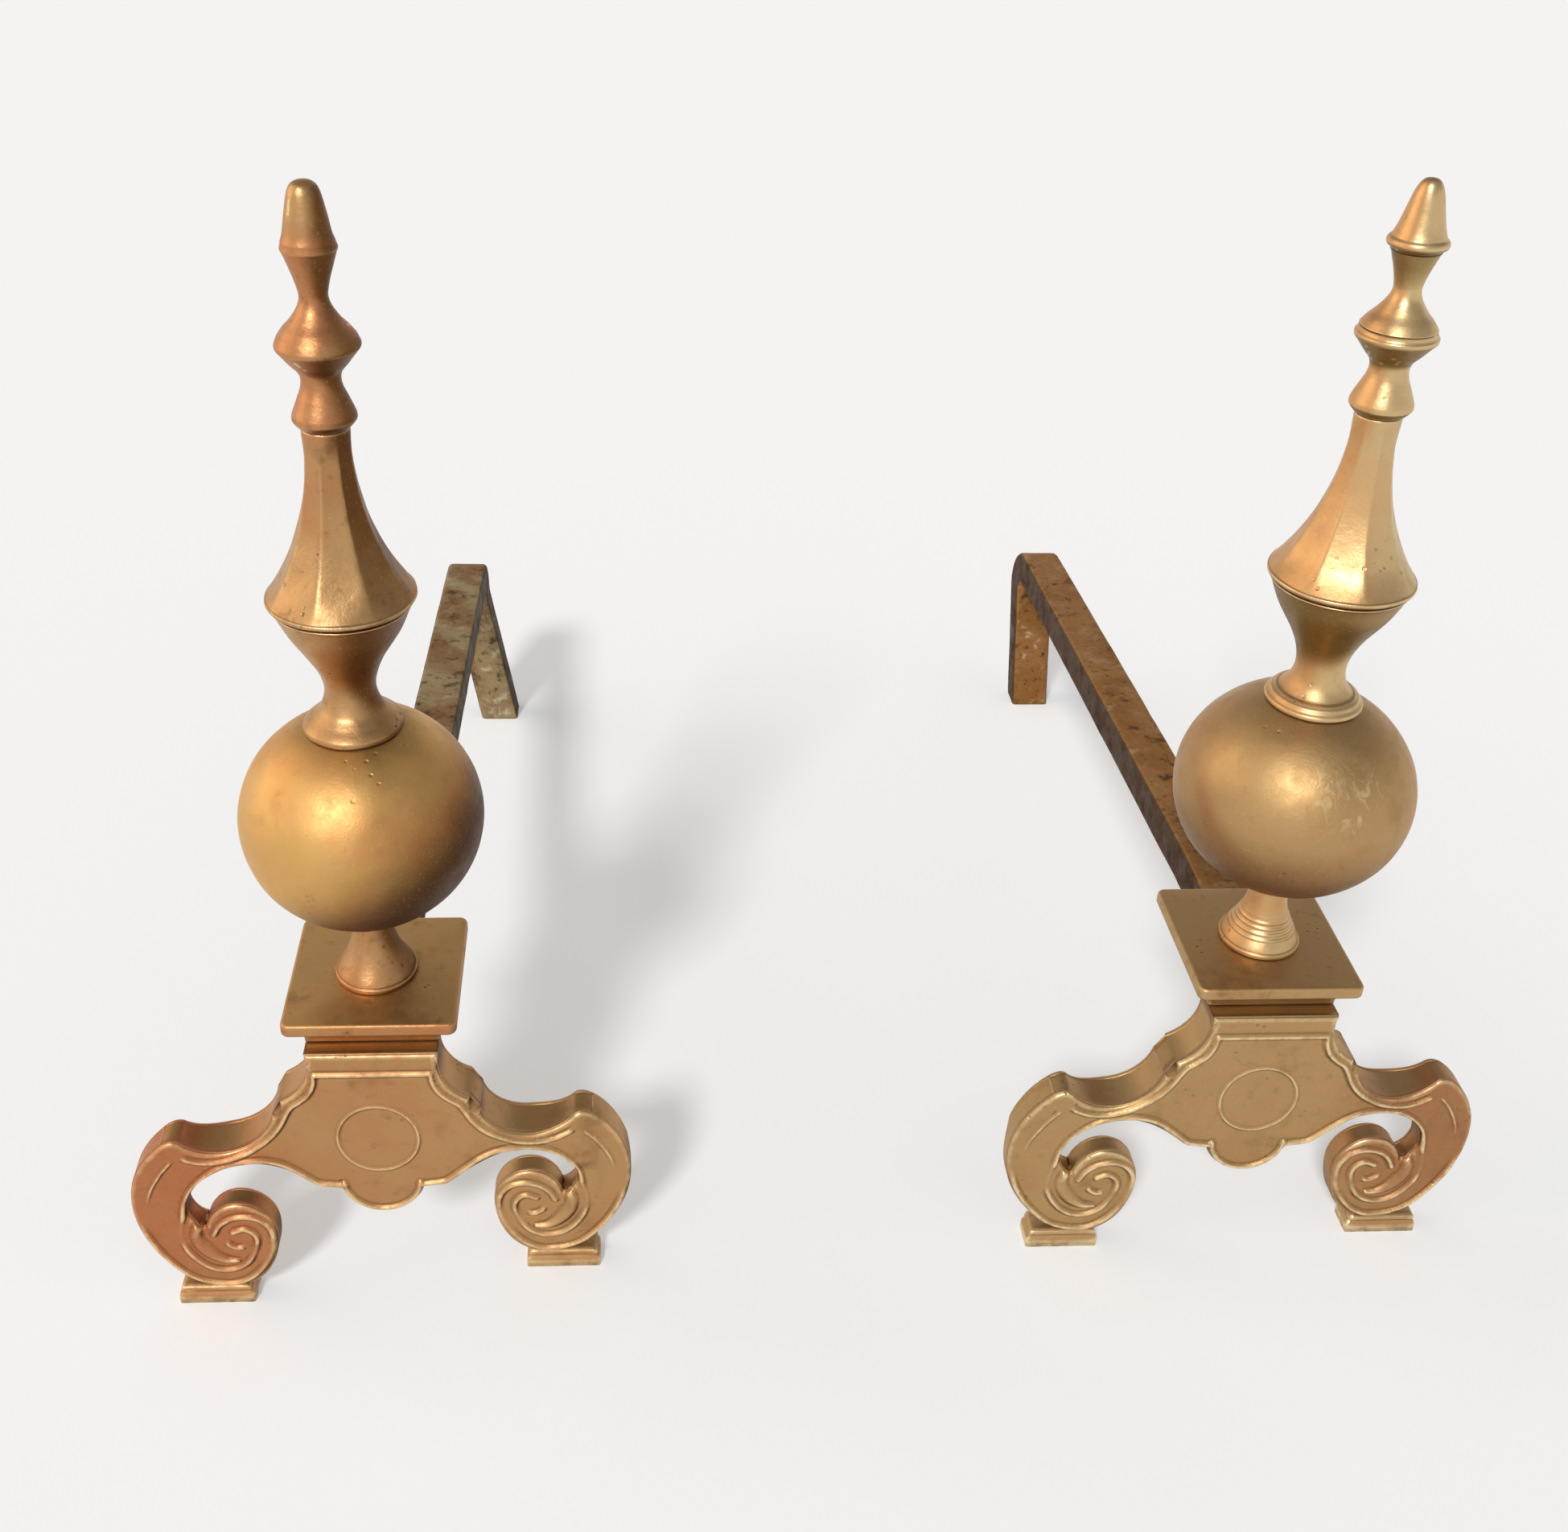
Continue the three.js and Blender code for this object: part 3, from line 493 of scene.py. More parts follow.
def brass(name, body, warm, upper, under, bright, tarnish, lit_side, painted_shade_fall=(-0.05, -0.5), stains=0.5,
          rub=0.3, roughness=0.5, relief=0.2, warm_at=None, painted_warm_light_left=0.0, scuffed_at=None):
    """Old satin brass: rubbed bright on its edges and browner in its hollows, with painted shade away from
    its lit side and painted light and shade on its level tops.

    painted_shade_fall: how squarely the surface faces the lit side where the painted shade begins, and
    where it is full.
    stains, rub: how strong the stains, and the bright rubbed edges, are.
    warm_at, scuffed_at: places that are coppery, and scuffed. painted_warm_light_left: how strongly
    left-facing surfaces are tinted coppery, as painted warm light from the left.
    """
    finish = Finish(name, 1.0, roughness)
    step, calc = finish.step, finish.math
    given = finish.node("ShaderNodeNewGeometry").outputs
    to_light = finish.node("ShaderNodeVectorMath", {
        0: given["Normal"],
        1: lit_side,
    }, operation="DOT_PRODUCT")
    broad = finish.noise(14.0, 3.0, 0.55, distortion=0.5)
    cloud = finish.noise(38.0, 4.0, 0.6)
    mottle = finish.noise(170.0, 4.0, 0.62)
    grain = finish.noise(950.0, 2.0, 0.6)

    # where the alloy is coppery, and painted warm light on left-facing surfaces
    warmth = step(broad, 0.47, 0.66, 0.0, 0.75)
    if warm_at:
        from_place = calc("ADD", finish.far_from(warm_at), calc("MULTIPLY", cloud, 0.05))
        warmth = calc("MAXIMUM", calc("MULTIPLY", warmth, 0.4), step(from_place, 0.1, 0.05))
    # painted warm light: surfaces that face left are tinted coppery
    if painted_warm_light_left:
        warm_light_on_left = step(finish.part(given["Normal"], "X"), -0.25, -0.7, 0.0, painted_warm_light_left)
        warmth = calc("MAXIMUM", warmth, warm_light_on_left)
    colour = finish.tint(linear(body), warmth, warm)

    # painted light and shade on level tops, then painted shade on the side turned away from the lit side
    level = step(finish.part(given["Normal"], "Z"), 0.8, 0.99, 0.0, 0.85)
    colour = finish.tint(colour, level, upper)
    # painted shade: the under tone darkens surfaces that face away from lit_side, with a cloudy edge
    waver = calc("MULTIPLY", calc("SUBTRACT", cloud, 0.5), 0.25)
    facing = calc("ADD", to_light.outputs["Value"], waver)
    colour = finish.tint(colour, step(facing, *painted_shade_fall, 0.0, 0.96), under)

    # stains, bright grains, hollows, rubbed edges and pits
    colour = finish.tint(colour, step(cloud, 0.56, 0.74, 0.0, 0.55 * stains), tarnish)
    colour = finish.tint(colour, step(mottle, 0.57, 0.75, 0.0, 0.35 * stains), tarnish)
    colour = finish.tint(colour, step(grain, 0.58, 0.72, 0.0, 0.1), bright)
    pointed = given["Pointiness"]
    broken = step(mottle, 0.62, 0.42, 0.45, 1.0)
    rubbed = calc("MULTIPLY", step(pointed, 0.505, 0.55), broken)
    colour = finish.tint(colour, calc("MULTIPLY", step(pointed, 0.495, 0.44), 0.65), tarnish)
    colour = finish.tint(colour, calc("MULTIPLY", rubbed, rub), bright)
    specks = finish.node("ShaderNodeTexVoronoi", {"Vector": finish.place, "Scale": 260.0})
    rare = step(finish.noise(45.0, 2.0), 0.58, 0.66)
    pits = calc("MULTIPLY", step(specks.outputs["Distance"], 0.24, 0.12), rare)
    colour = finish.tint(colour, calc("MULTIPLY", pits, 0.6 * stains), tarnish)

    dull = step(cloud, 0.3, 0.75, roughness - 0.05, roughness + 0.07)
    dull = calc("ADD", dull, step(mottle, 0.35, 0.7, -0.03, 0.05))
    dull = calc("SUBTRACT", dull, calc("MULTIPLY", rubbed, 0.12 * rub))
    normal = finish.bump(mottle, relief, 0.0006)
    normal = finish.bump(grain, 0.16, 0.0003, normal)
    normal = finish.bump(pits, 0.5, -0.0004, normal)
    if scuffed_at:
        near = step(finish.far_from(scuffed_at), 0.019, 0.007)
        strokes = finish.noise(190.0, 4.0, 0.65, stretch=(1.0, 1.0, 0.5), distortion=1.2)
        scuff = calc("MULTIPLY", near, step(strokes, 0.5, 0.64, 0.0, 0.35))
        colour = finish.tint(colour, scuff, bright)
        dull = calc("SUBTRACT", dull, calc("MULTIPLY", scuff, 0.25))
        normal = finish.bump(strokes, calc("MULTIPLY", near, 0.45), 0.0006, normal)
    return finish.wear(colour, dull, normal)


def forged_iron(name, body, rust, dark, pale, ash, roughness=0.68):
    """Black iron with brown rust, pale scale, dark pits and specks of ash, and painted shade on its side
    faces.
    """
    finish = Finish(name, 0.35, roughness)
    finish.surface.inputs["Specular IOR Level"].default_value = 0.12
    step = finish.step
    given = finish.node("ShaderNodeNewGeometry").outputs
    broad = finish.noise(26.0, 4.0, 0.62, distortion=0.6)
    patch = finish.noise(85.0, 5.0, 0.7)
    speck = finish.noise(340.0, 3.0, 0.6)
    colour = finish.tint(linear(body), step(broad, 0.4, 0.6), rust)
    colour = finish.tint(colour, step(patch, 0.54, 0.68, 0.0, 0.75), dark)
    colour = finish.tint(colour, step(patch, 0.44, 0.3, 0.0, 0.6), pale)
    colour = finish.tint(colour, step(speck, 0.58, 0.7, 0.0, 0.5), dark)
    low_down = step(finish.part(finish.place, "Z"), 0.10, 0.05)
    dusty = finish.math("MULTIPLY", step(patch, 0.46, 0.34), low_down)
    colour = finish.tint(colour, finish.math("MULTIPLY", dusty, 0.5), ash)
    # painted shade: faces turned to the left or right are darkened
    side_faces_painted_shade = finish.math("ABSOLUTE", finish.part(given["Normal"], "X"))
    colour = finish.tint(colour, step(side_faces_painted_shade, 0.5, 0.85, 0.0, 0.88), dark)
    colour = finish.tint(colour, step(given["Pointiness"], 0.51, 0.58, 0.0, 0.4), pale)
    normal = finish.bump(patch, 0.6, 0.0012)
    normal = finish.bump(speck, 0.4, 0.0005, normal)
    return finish.wear(colour, step(patch, 0.35, 0.7, roughness - 0.14, roughness + 0.16), normal)


# In these tones, upper is painted light and shade on level tops, and under is painted shade on surfaces
# turned away from lit_side.
LEFT_TONES = {"body": "BE9464", "warm": "BC7A50", "upper": "B68E5A", "under": "5C3416", "bright": "F6D6A2",
              "tarnish": "5C361A", "lit_side": (-0.55, 0.0, 0.83)}
LEFT_BALL = {**LEFT_TONES, "body": "D8AA68", "warm": "CE8E58", "upper": "B08A52", "under": "42220C",
             "lit_side": (-0.68, 0.0, 0.73)}
LEFT_CAP = {**LEFT_TONES, "body": "BC9260", "upper": "DAAC70", "under": "8E7254"}
LEFT_STACK = {**LEFT_TONES, "under": "64401E", "lit_side": (-0.8, 0.0, 0.6)}
RIGHT_TONES = {"body": "BA9666", "warm": "AE7C52", "upper": "B89468", "under": "7A5632", "bright": "F8E2B4",
               "tarnish": "5E4020", "lit_side": (0.1, 0.0, 1.0)}
RIGHT_STACK = {**RIGHT_TONES, "body": "D2B484", "warm": "CC9660", "under": "7E6438"}
RIGHT_CAP = {**RIGHT_TONES, "upper": "C8A270", "under": "907656"}


def beside(side, right, forward, height):
    """A place set off from the column's axis."""
    x, y = axis_of(side)
    return x + right, y - forward, height


# Per piece: where its painted shade begins and is full, and how strong its painted warm light from the left
# is.
BRASSES = {
    "left_leg": dict(LEFT_TONES, rub=0.8, warm_at=beside("left", -0.085, 0.03, 0.055)),
    "left_cap": dict(LEFT_CAP, stains=0.9, rub=0.1),
    "left_ball": dict(LEFT_BALL, painted_shade_fall=(0.3, -0.6), stains=0.3),
    "left_stack": dict(LEFT_STACK, painted_shade_fall=(0.1, -0.55), stains=1.0, rub=0.45, roughness=0.44, relief=0.4),
    "right_leg": dict(RIGHT_TONES, rub=0.8, warm_at=beside("right", 0.09, 0.03, 0.06)),
    "right_cap": dict(RIGHT_CAP, stains=0.9, rub=0.12),
    "right_ball": dict(RIGHT_TONES, painted_shade_fall=(0.1, -0.65), stains=0.25,
                       scuffed_at=beside("right", 0.005, 0.034, 0.235)),
    "right_stack": dict(RIGHT_STACK, stains=0.35, rub=0.4, roughness=0.42, painted_warm_light_left=0.8),
}
# Colours: body, rust, dark (dark patches and specks, and the painted shade on side faces), pale, ash; then
# an optional roughness.
IRONS = {
    "left_bar": ("A08A64", "8A6844", "3A2A1A", "BCA884", "D0C4B0"),
    "right_bar": ("9C6E40", "8E6030", "34241A", "AC9260", "D0C4B0"),
    "fastener": ("5A4836", "6B4628", "261C14", "8A7560", "9A8C78", 0.74),
}
FINISHES = {place: brass(f"{place}_brass", **tones) for place, tones in BRASSES.items()}
FINISHES.update({place: forged_iron(f"{place}_iron", *tones) for place, tones in IRONS.items()})


def attach(piece, node):
    """The piece stands for the CAD node and rides on the pair's one body."""
    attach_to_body(piece, "root")
    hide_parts(node)
    return piece


# ---------------------------------------------------------------- turned pieces

turned_form = turned_form_tree()
TURN_SEGMENTS = 144


def fillet(points, radius, step=0.0003):
    """A profile of (radius, height) points with its corners rounded."""
    points = np.array(points, float)
    out = [points[0]]
    for before, here, after in zip(points, points[1:], points[2:]):
        to_before, to_after = before - here, after - here
        reach = min(radius, 0.45 * np.linalg.norm(to_before), 0.45 * np.linalg.norm(to_after))
        start = here + to_before / np.linalg.norm(to_before) * reach
        stop = here + to_after / np.linalg.norm(to_after) * reach
        out += list(bezier([start, here, stop], step))
    return np.array(out + [points[-1]])


def turn_piece(name, node, side, profile, facets=None, first_flat=0.0, unevenness=0.00025, finish="stack"):
    """Turns a profile of (radius, height) points into a piece on the side's column axis."""
    profile = np.array(profile)
    facets = np.zeros(len(profile)) if facets is None else np.array(facets)
    points = np.stack([profile[:, 0], facets, profile[:, 1]], 1)
    piece = line_object(f"{side}_{name}", points, [(i, i + 1) for i in range(len(points) - 1)])
    iron = finish == "fastener"
    grow(piece, turned_form, Segments=TURN_SEGMENTS, First_Flat=first_flat, Axis=(*axis_of(side), 0.0),
         Unevenness=unevenness, Material=FINISHES[finish if iron else f"{side}_{finish}"])
    attach(piece, f"{side}_{node}")


BALL_RADIUS = 0.045
BALL_SQUASH = 0.94
BALL_FOOT_RADIUS = 0.010
BALL_STEPS = 110


def ball_profile(side):
    """A slightly flattened ball, cut level at its foot and crown."""
    foot, top = foot_of(f"{side}_ball"), top_of(f"{side}_ball")
    half_height = BALL_SQUASH * BALL_RADIUS
    centre = foot + BALL_SQUASH * math.sqrt(BALL_RADIUS ** 2 - BALL_FOOT_RADIUS ** 2)
    lowest = math.asin((foot - centre) / half_height)
    highest = math.asin((top - centre) / half_height)
    angles = np.linspace(lowest, highest, BALL_STEPS)
    round_part = np.stack([BALL_RADIUS * np.cos(angles), centre + half_height * np.sin(angles)], 1)
    return np.vstack([[0, foot], round_part, [0, top]])


SPOOL_RIM = 0.0161
SPOOL_WAIST = 0.0068
SPOOL_BEAD = 0.0004
SPOOL_BEAD_PITCH = 0.0021


def spool_profile(side):
    """A flared foot with a thin rim, a waist and a small ring under the ball."""
    foot, top = foot_of(f"{side}_spool"), top_of(f"{side}_spool")
    waist = SPOOL_WAIST
    stem = 0.7 * (top - foot)
    flare = 0.46 * stem
    rise = np.linspace(0, stem, 60)
    sweep = waist + (SPOOL_RIM - 0.0008 - waist) * np.exp(-(rise / flare) ** 1.3)
    if side == "right":
        beads = np.maximum(np.sin(rise / SPOOL_BEAD_PITCH * TAU), 0)
        sweep += SPOOL_BEAD * beads * smoothstep(0.003, 0.005, rise) * smoothstep(0.014, 0.011, rise)
    rim, narrow = 1000 * SPOOL_RIM, 1000 * waist
    foot_rim = above(foot, (0, 0), (rim - 0.2, 0), (rim, 1), (rim - 0.2, 2), (rim - 0.9, 2.4))
    neck_ring = above(top, (narrow + 0.1, -3.6), (narrow + 0.9, -2.9), (narrow + 1.1, -1.2),
                      (narrow + 0.4, -0.1), (narrow, 0))
    return join_lines(fillet(foot_rim, 0.0007), np.stack([sweep, foot + 0.0026 + rise], 1),
                      fillet(neck_ring, 0.0008), [[0, top]])


def neck_profile(side):
    """A collar seated on the ball, a waist, and a cone that opens under the steeple's rim."""
    foot, top = foot_of(f"{side}_neck"), top_of(f"{side}_neck")
    collar = [(0, 0), (17.7, 0), (18, 0.6)]
    if side == "left":
        collar += [(17.8, 2.2), (16.3, 3.6)]
        flare = [(16.3, 3.6), (13.7, 5.8), (10.9, 9.2)]
    else:
        collar += [(17.8, 1.8), (16.6, 2.7), (16, 4), (15, 4.5)]
        flare = [(14.6, 5), (12.8, 5.8), (10.2, 9.7)]
    body = above(foot, *flare, (9.2, 15.5), (10.4, 22.4), (13.7, 29.8), (20, 40.1))
    lip = above(top, (24.2, -1.2), (24.8, -0.4), (24.2, 0), (0, 0))
    cone = smooth_line(body + lip[:1])
    return join_lines(fillet(above(foot, *collar), 0.0009), cone, fillet(lip, 0.0005))


STEEPLE_RIM = 0.0262
STEEPLE_RIM_HEIGHT = 0.0026
STEEPLE_TOP_RADIUS = 0.0081
STEEPLE_TOP_ROUND = 0.0006
STEEPLE_FLARE = 2.3
STEEPLE_TURN = {"left": 9.5, "right": -24.5}


def steeple_profile(side):
    """A round rim under a concave, eight-sided bell. Returns the profile and its facets' strength."""
    foot, top = foot_of(f"{side}_steeple"), top_of(f"{side}_steeple")
    bell_top = top - STEEPLE_TOP_ROUND
    narrow, widest = STEEPLE_TOP_RADIUS, STEEPLE_RIM - 0.0003
    rim = fillet([(0, foot), (STEEPLE_RIM - 0.0016, foot), (STEEPLE_RIM, foot + 0.0014),
                  (STEEPLE_RIM - 0.0001, foot + STEEPLE_RIM_HEIGHT)], 0.0014)
    u = np.linspace(1, 0, 120)
    bell = np.stack([narrow + (widest - narrow) * u ** STEEPLE_FLARE,
                     bell_top - u * (bell_top - foot - STEEPLE_RIM_HEIGHT)], 1)
    crown = bezier([(narrow, bell_top), (narrow, top), (narrow - STEEPLE_TOP_ROUND, top)])
    profile = join_lines(rim, bell, crown, [(0, top)])
    share = (top - profile[:, 1]) / (top - foot)
    facets = smoothstep(1.0, 0.8, share) * smoothstep(0.0, 0.2, share)
    return profile, np.where(profile[:, 0] > 0.001, facets, 0)


# rounding of the edges, then (radius, height over the foot), all in millimetres
DISC = {
    "left": (0.5, (12.6, 25.5), (13.8, 27), (13.8, 28.1), (12.8, 30.4)),
    "right": (0.6, (12.6, 25.5), (13.7, 26.6), (13.8, 28), (13.1, 28.7), (12.8, 29.5), (12.6, 30.6)),
}
TIP_RIM = {
    "left": (0.7, (8.5, 57.6), (9.1, 58.7), (8.5, 60.6)),
    "right": (0.9, (8.2, 56.2), (8.4, 57.2), (9.7, 57.8), (10.1, 59), (9.6, 60.2), (8.8, 60.8)),
}
TIP = {
    "left": [(8.5, 60.9), (7.6, 63.7), (6.7, 69.2), (5.6, 74.7), (4.3, 77.9)],
    "right": [(8.7, 61), (7.6, 64), (6.3, 69), (4.9, 74.5), (3.7, 77.5)],
}
TIP_CROWN = {"left": (2.4, -0.4), "right": (2.2, -0.5)}


def finial_profile(side):
    """From the ring over the steeple, by the disc, to the rimmed point."""
    foot, top = foot_of(f"{side}_finial"), top_of(f"{side}_finial")

    def edge(rounding, *points):
        return fillet(above(foot, *points), rounding / 1000)

    def sweep(*points):
        return smooth_line(above(foot, *points), 0.0003)

    ring = edge(0.5, (8.6, 0.1), (9.8, 1.4), (10.8, 2.7), (10.6, 4.4), (9.8, 6.4))
    stem = sweep((9.8, 6.4), (8.3, 10), (7, 13.3), (6.6, 16.2), (7.3, 18.9), (9.8, 21.9), (12.6, 25.5))
    waist = sweep((12.7, 30.6), (10.8, 33.2), (8.3, 36), (5.7, 39.9), (4.7, 42.8), (4.8, 45.2), (5.8, 49.5),
                  (7.3, 54.2), (8.5, 57.6))
    point = smooth_line(above(foot, *TIP[side]) + above(top, TIP_CROWN[side], (0, 0)), 0.0003)
    return join_lines([(0, foot)], [(0.0083, foot)], ring, stem, edge(*DISC[side]), waist,
                      edge(*TIP_RIM[side]), point)


BALL_UNEVENNESS = 0.0005
WORN_UNEVENNESS = {"left": 0.0009, "right": 0.0004}


def turned_pieces(side):
    """The five turned pieces of a column, from the spool to the finial."""
    worn = WORN_UNEVENNESS[side]
    turn_piece("brass_ball", "ball", side, ball_profile(side), unevenness=BALL_UNEVENNESS, finish="ball")
    turn_piece("brass_spool", "spool", side, spool_profile(side))
    turn_piece("brass_neck", "neck", side, neck_profile(side), unevenness=worn)
    profile, facets = steeple_profile(side)
    first_flat = -math.pi / 2 + math.radians(STEEPLE_TURN[side])
    turn_piece("brass_steeple", "steeple", side, profile, facets, first_flat, worn)
    turn_piece("brass_finial", "finial", side, finial_profile(side), unevenness=worn)


# ---------------------------------------------------------------- moulded and lofted pieces

def rounded_rectangle(half_x, front, back, corner, side_points=9, corner_points=6):
    """A ring of (x, y) points, anticlockwise from above, with rounded corners."""
    middle, half_y = (front + back) / 2, (back - front) / 2
    turns = []
    for sx, sy, start in ((1, -1, -90), (1, 1, 0), (-1, 1, 90), (-1, -1, 180)):
        angles = np.radians(np.linspace(start, start + 90, corner_points))
        centre = (sx * (half_x - corner), middle + sy * (half_y - corner))
        x = centre[0] + corner * np.cos(angles)
        y = centre[1] + corner * np.sin(angles)
        turns.append(np.column_stack([x, y]))
    ring = []
    for turn, following in zip(turns, turns[1:] + turns[:1]):
        t = np.linspace(0, 1, side_points + 2)[1:-1, None]
        ring += [turn, turn[-1] + (following[0] - turn[-1]) * t]
    return np.vstack(ring)


def moulded_block(name, levels, centre=(0.0, 0.0)):
    """A block whose sides follow a moulding. Each level is (height, half width, front, back, corner)."""
    rings = []
    for height, half_x, front, back, corner in levels:
        flat = rounded_rectangle(half_x, front, back, corner) + np.array(centre)
        rings.append(np.column_stack([flat, np.full(len(flat), height)]))
    return loft(rings, name)


def rounded_levels(bottom, top, half, rounding, front, back, corner, steps=4):
    """Levels of a plain block whose lower and upper edges are rounded."""
    levels = []
    for base, way in ((bottom, 1), (top, -1)):
        part = []
        for k in range(steps + 1):
            a = math.radians(90 * k / steps)
            inset = rounding * (1 - math.sin(a))
            height = base + way * rounding * (1 - math.cos(a))
            part.append((height, half - inset, front + inset, back - inset, max(corner - inset, 0.0003)))
        levels += part if way == 1 else part[::-1]
    return levels


# ---------------------------------------------------------------- scrolled leg casting

raised_lines = raised_lines_tree()
FINE = 0.0006                 # spacing of points along the outline and on the front
COARSE = 0.0012               # and on the back
EDGE_ROUND = 0.0019
EDGE_STEPS = 9
OUTER_EASE = 0.0016           # how far the face falls back at the scroll's outer side
LEG_DEPTH = 0.020
ELBOW_DEPTH = 0.014
SCROLL_DEPTH = 0.011
POCKET_WALL = 0.006
POCKET_HALF = (0.025, 0.018)
POCKET_CENTRE = 0.086
SHELF_HALF = 0.012
SHELF_FOOT = 0.1118
SHELF_TOP = 0.1178
SHELF_EDGE = 0.0007
FOOT_CENTRE = 0.071
FOOT_HALF = 0.0155
FOOT_HEIGHT = 0.0095
FOOT_DEPTH = 0.013
FOOT_PROUD = 0.001
LEG_SWEEP = {"left": (6.2, -10.8), "right": (-1.3, -6.6)}  # degrees, left and right leg
SWEEP_START = 0.035
SWEEP_EASE = 0.005
SWEEP_REACH = FOOT_CENTRE + FOOT_HALF - SWEEP_START
SCROLL_TOP = 0.0545
SCROLL_EASE = 0.0075
# centres of the outline's arcs, right of the middle and up from the hearth
LOBE = (0.0, 0.0615)
ARCH = (0.053, 0.051)
UPPER_SCOOP = (0.045, 0.122)
LOWER_SCOOP = (0.061, 0.101)
EYE = (0.058, 0.037)
SCROLL = (0.062, 0.052)
BEAD_HALF_WIDTH = 0.0013
BEAD_RISE = 0.0011
SCROLL_BEAD_HALF_WIDTH = 0.0014
FINE_BEAD_RISE = 0.0006


def line_of(*points):
    return even(np.array(points, float), FINE)


def half_outline():
    """The right half of the front, from the shield's top round the leg and scroll to the lobe."""
    return join_lines(
        line_of((0.0, 0.1275), (0.0255, 0.1275)),
        arc(UPPER_SCOOP, (0.020, 0.020), 180, 246),
        arc(LOWER_SCOOP, (0.021, 0.021), 190, 314.5),
        bezier([(0.07572, 0.08602), (0.07881, 0.08987), (0.08384, 0.08644)]),
        arc(SCROLL, (0.0375, 0.0423), 54.4, 0),
        arc(SCROLL, (0.0375, 0.044), 0, -90),
        arc((SCROLL[0], EYE[1]), (0.019, 0.029), -90, -180),
        arc(EYE, (0.015, 0.0175), 180, 90),
        arc(EYE, (0.014, 0.0175), 90, 18),
        bezier([(0.0713, 0.0424), (0.076, 0.044), (0.0775, 0.051)]),
        arc(ARCH, (0.0245, 0.0216), 0, 90),
        bezier([(0.053, 0.0726), (0.043, 0.0726), (0.035, 0.0666), (0.027, 0.0593)]),
        line_of((0.027, 0.0593), (0.0245, 0.0578)),
        line_of((0.0245, 0.0578), (0.0164, 0.0571)),
        arc(LOBE, (0.017, 0.017), -15, -90),
    )


def whole_outline():
    half = half_outline()
    return np.vstack([half, (half[1:-1] * (-1, 1))[::-1]])


def distance_to(outline, points):
    """Distance from each point to a closed outline."""
    start, stop = outline, np.roll(outline, -1, axis=0)
    along = stop - start
    length = (along ** 2).sum(1)
    out = np.empty(len(points))
    for i in range(0, len(points), 2000):
        block = points[i:i + 2000, None, :] - start
        t = np.clip((block * along).sum(2) / length, 0, 1)
        out[i:i + 2000] = np.sqrt(((block - t[..., None] * along) ** 2).sum(2).min(1))
    return out


def inside(outline, points):
    """Whether each point lies within a closed outline."""
    x, z = points[:, 0, None], points[:, 1, None]
    a, b = outline, np.roll(outline, -1, axis=0)
    spans = (a[:, 1] > z) != (b[:, 1] > z)
    rise = np.where(b[:, 1] == a[:, 1], 1e-12, b[:, 1] - a[:, 1])
    crossing = a[:, 0] + (z - a[:, 1]) / rise * (b[:, 0] - a[:, 0])
    return (spans & (x < crossing)).sum(1) % 2 == 1


def fill_outline(outline, spacing, offsets):
    """Even triangles inside an outline, with rows beside its edge. The outline's points come first."""
    along = np.roll(outline, -1, axis=0) - np.roll(outline, 1, axis=0)
    inward = np.column_stack([along[:, 1], -along[:, 0]]) / np.linalg.norm(along, axis=1)[:, None]
    rows = []
    for offset in offsets:
        row = outline + inward * offset
        rows.append(row[distance_to(outline, row) > 0.96 * offset])
    low, high = outline.min(0), outline.max(0)
    across = np.arange(low[0], high[0], spacing)
    upward = np.arange(low[1], high[1], spacing * math.sqrt(0.75))
    x, z = np.meshgrid(across, upward)
    x = x + (np.arange(len(upward)) % 2)[:, None] * spacing / 2
    grid = np.column_stack([x.ravel(), z.ravel()])
    grid = grid[inside(outline, grid)]
    grid = grid[distance_to(outline, grid) > offsets[-1] + 0.6 * spacing]
    points = np.vstack([outline, *rows, grid]) * 1000
    count = len(outline)
    ring = [(i, (i + 1) % count) for i in range(count)]
    found = geometry.delaunay_2d_cdt([Vector(p) for p in points], ring, [], 1, 1e-4)
    first = {source[0]: i for i, source in enumerate(found[3]) if source}
    order = [first[i] for i in range(count)]
    vertices = np.array([tuple(v) for v in found[0]]) / 1000
    return vertices, np.array(found[2]), order


def depth_at(x, z):
    """How far back the casting goes: deep at the shield, thin at the scrolls, hollowed behind."""
    by_height = SCROLL_DEPTH + (LEG_DEPTH - SCROLL_DEPTH) * smoothstep(0.054, 0.080, z)
    by_reach = LEG_DEPTH - (LEG_DEPTH - ELBOW_DEPTH) * smoothstep(0.058, 0.084, np.abs(x))
    depth = np.minimum(by_height, by_reach)
    oval = np.hypot(x / POCKET_HALF[0], (z - POCKET_CENTRE) / POCKET_HALF[1])
    return depth - (depth - POCKET_WALL) * smoothstep(1.03, 0.95, oval)


def rounding(distance):
    """How far the face falls back at this distance from the outline."""
    inner = np.clip(EDGE_ROUND - distance, 0, EDGE_ROUND)
    return EDGE_ROUND - np.sqrt(EDGE_ROUND ** 2 - inner ** 2)


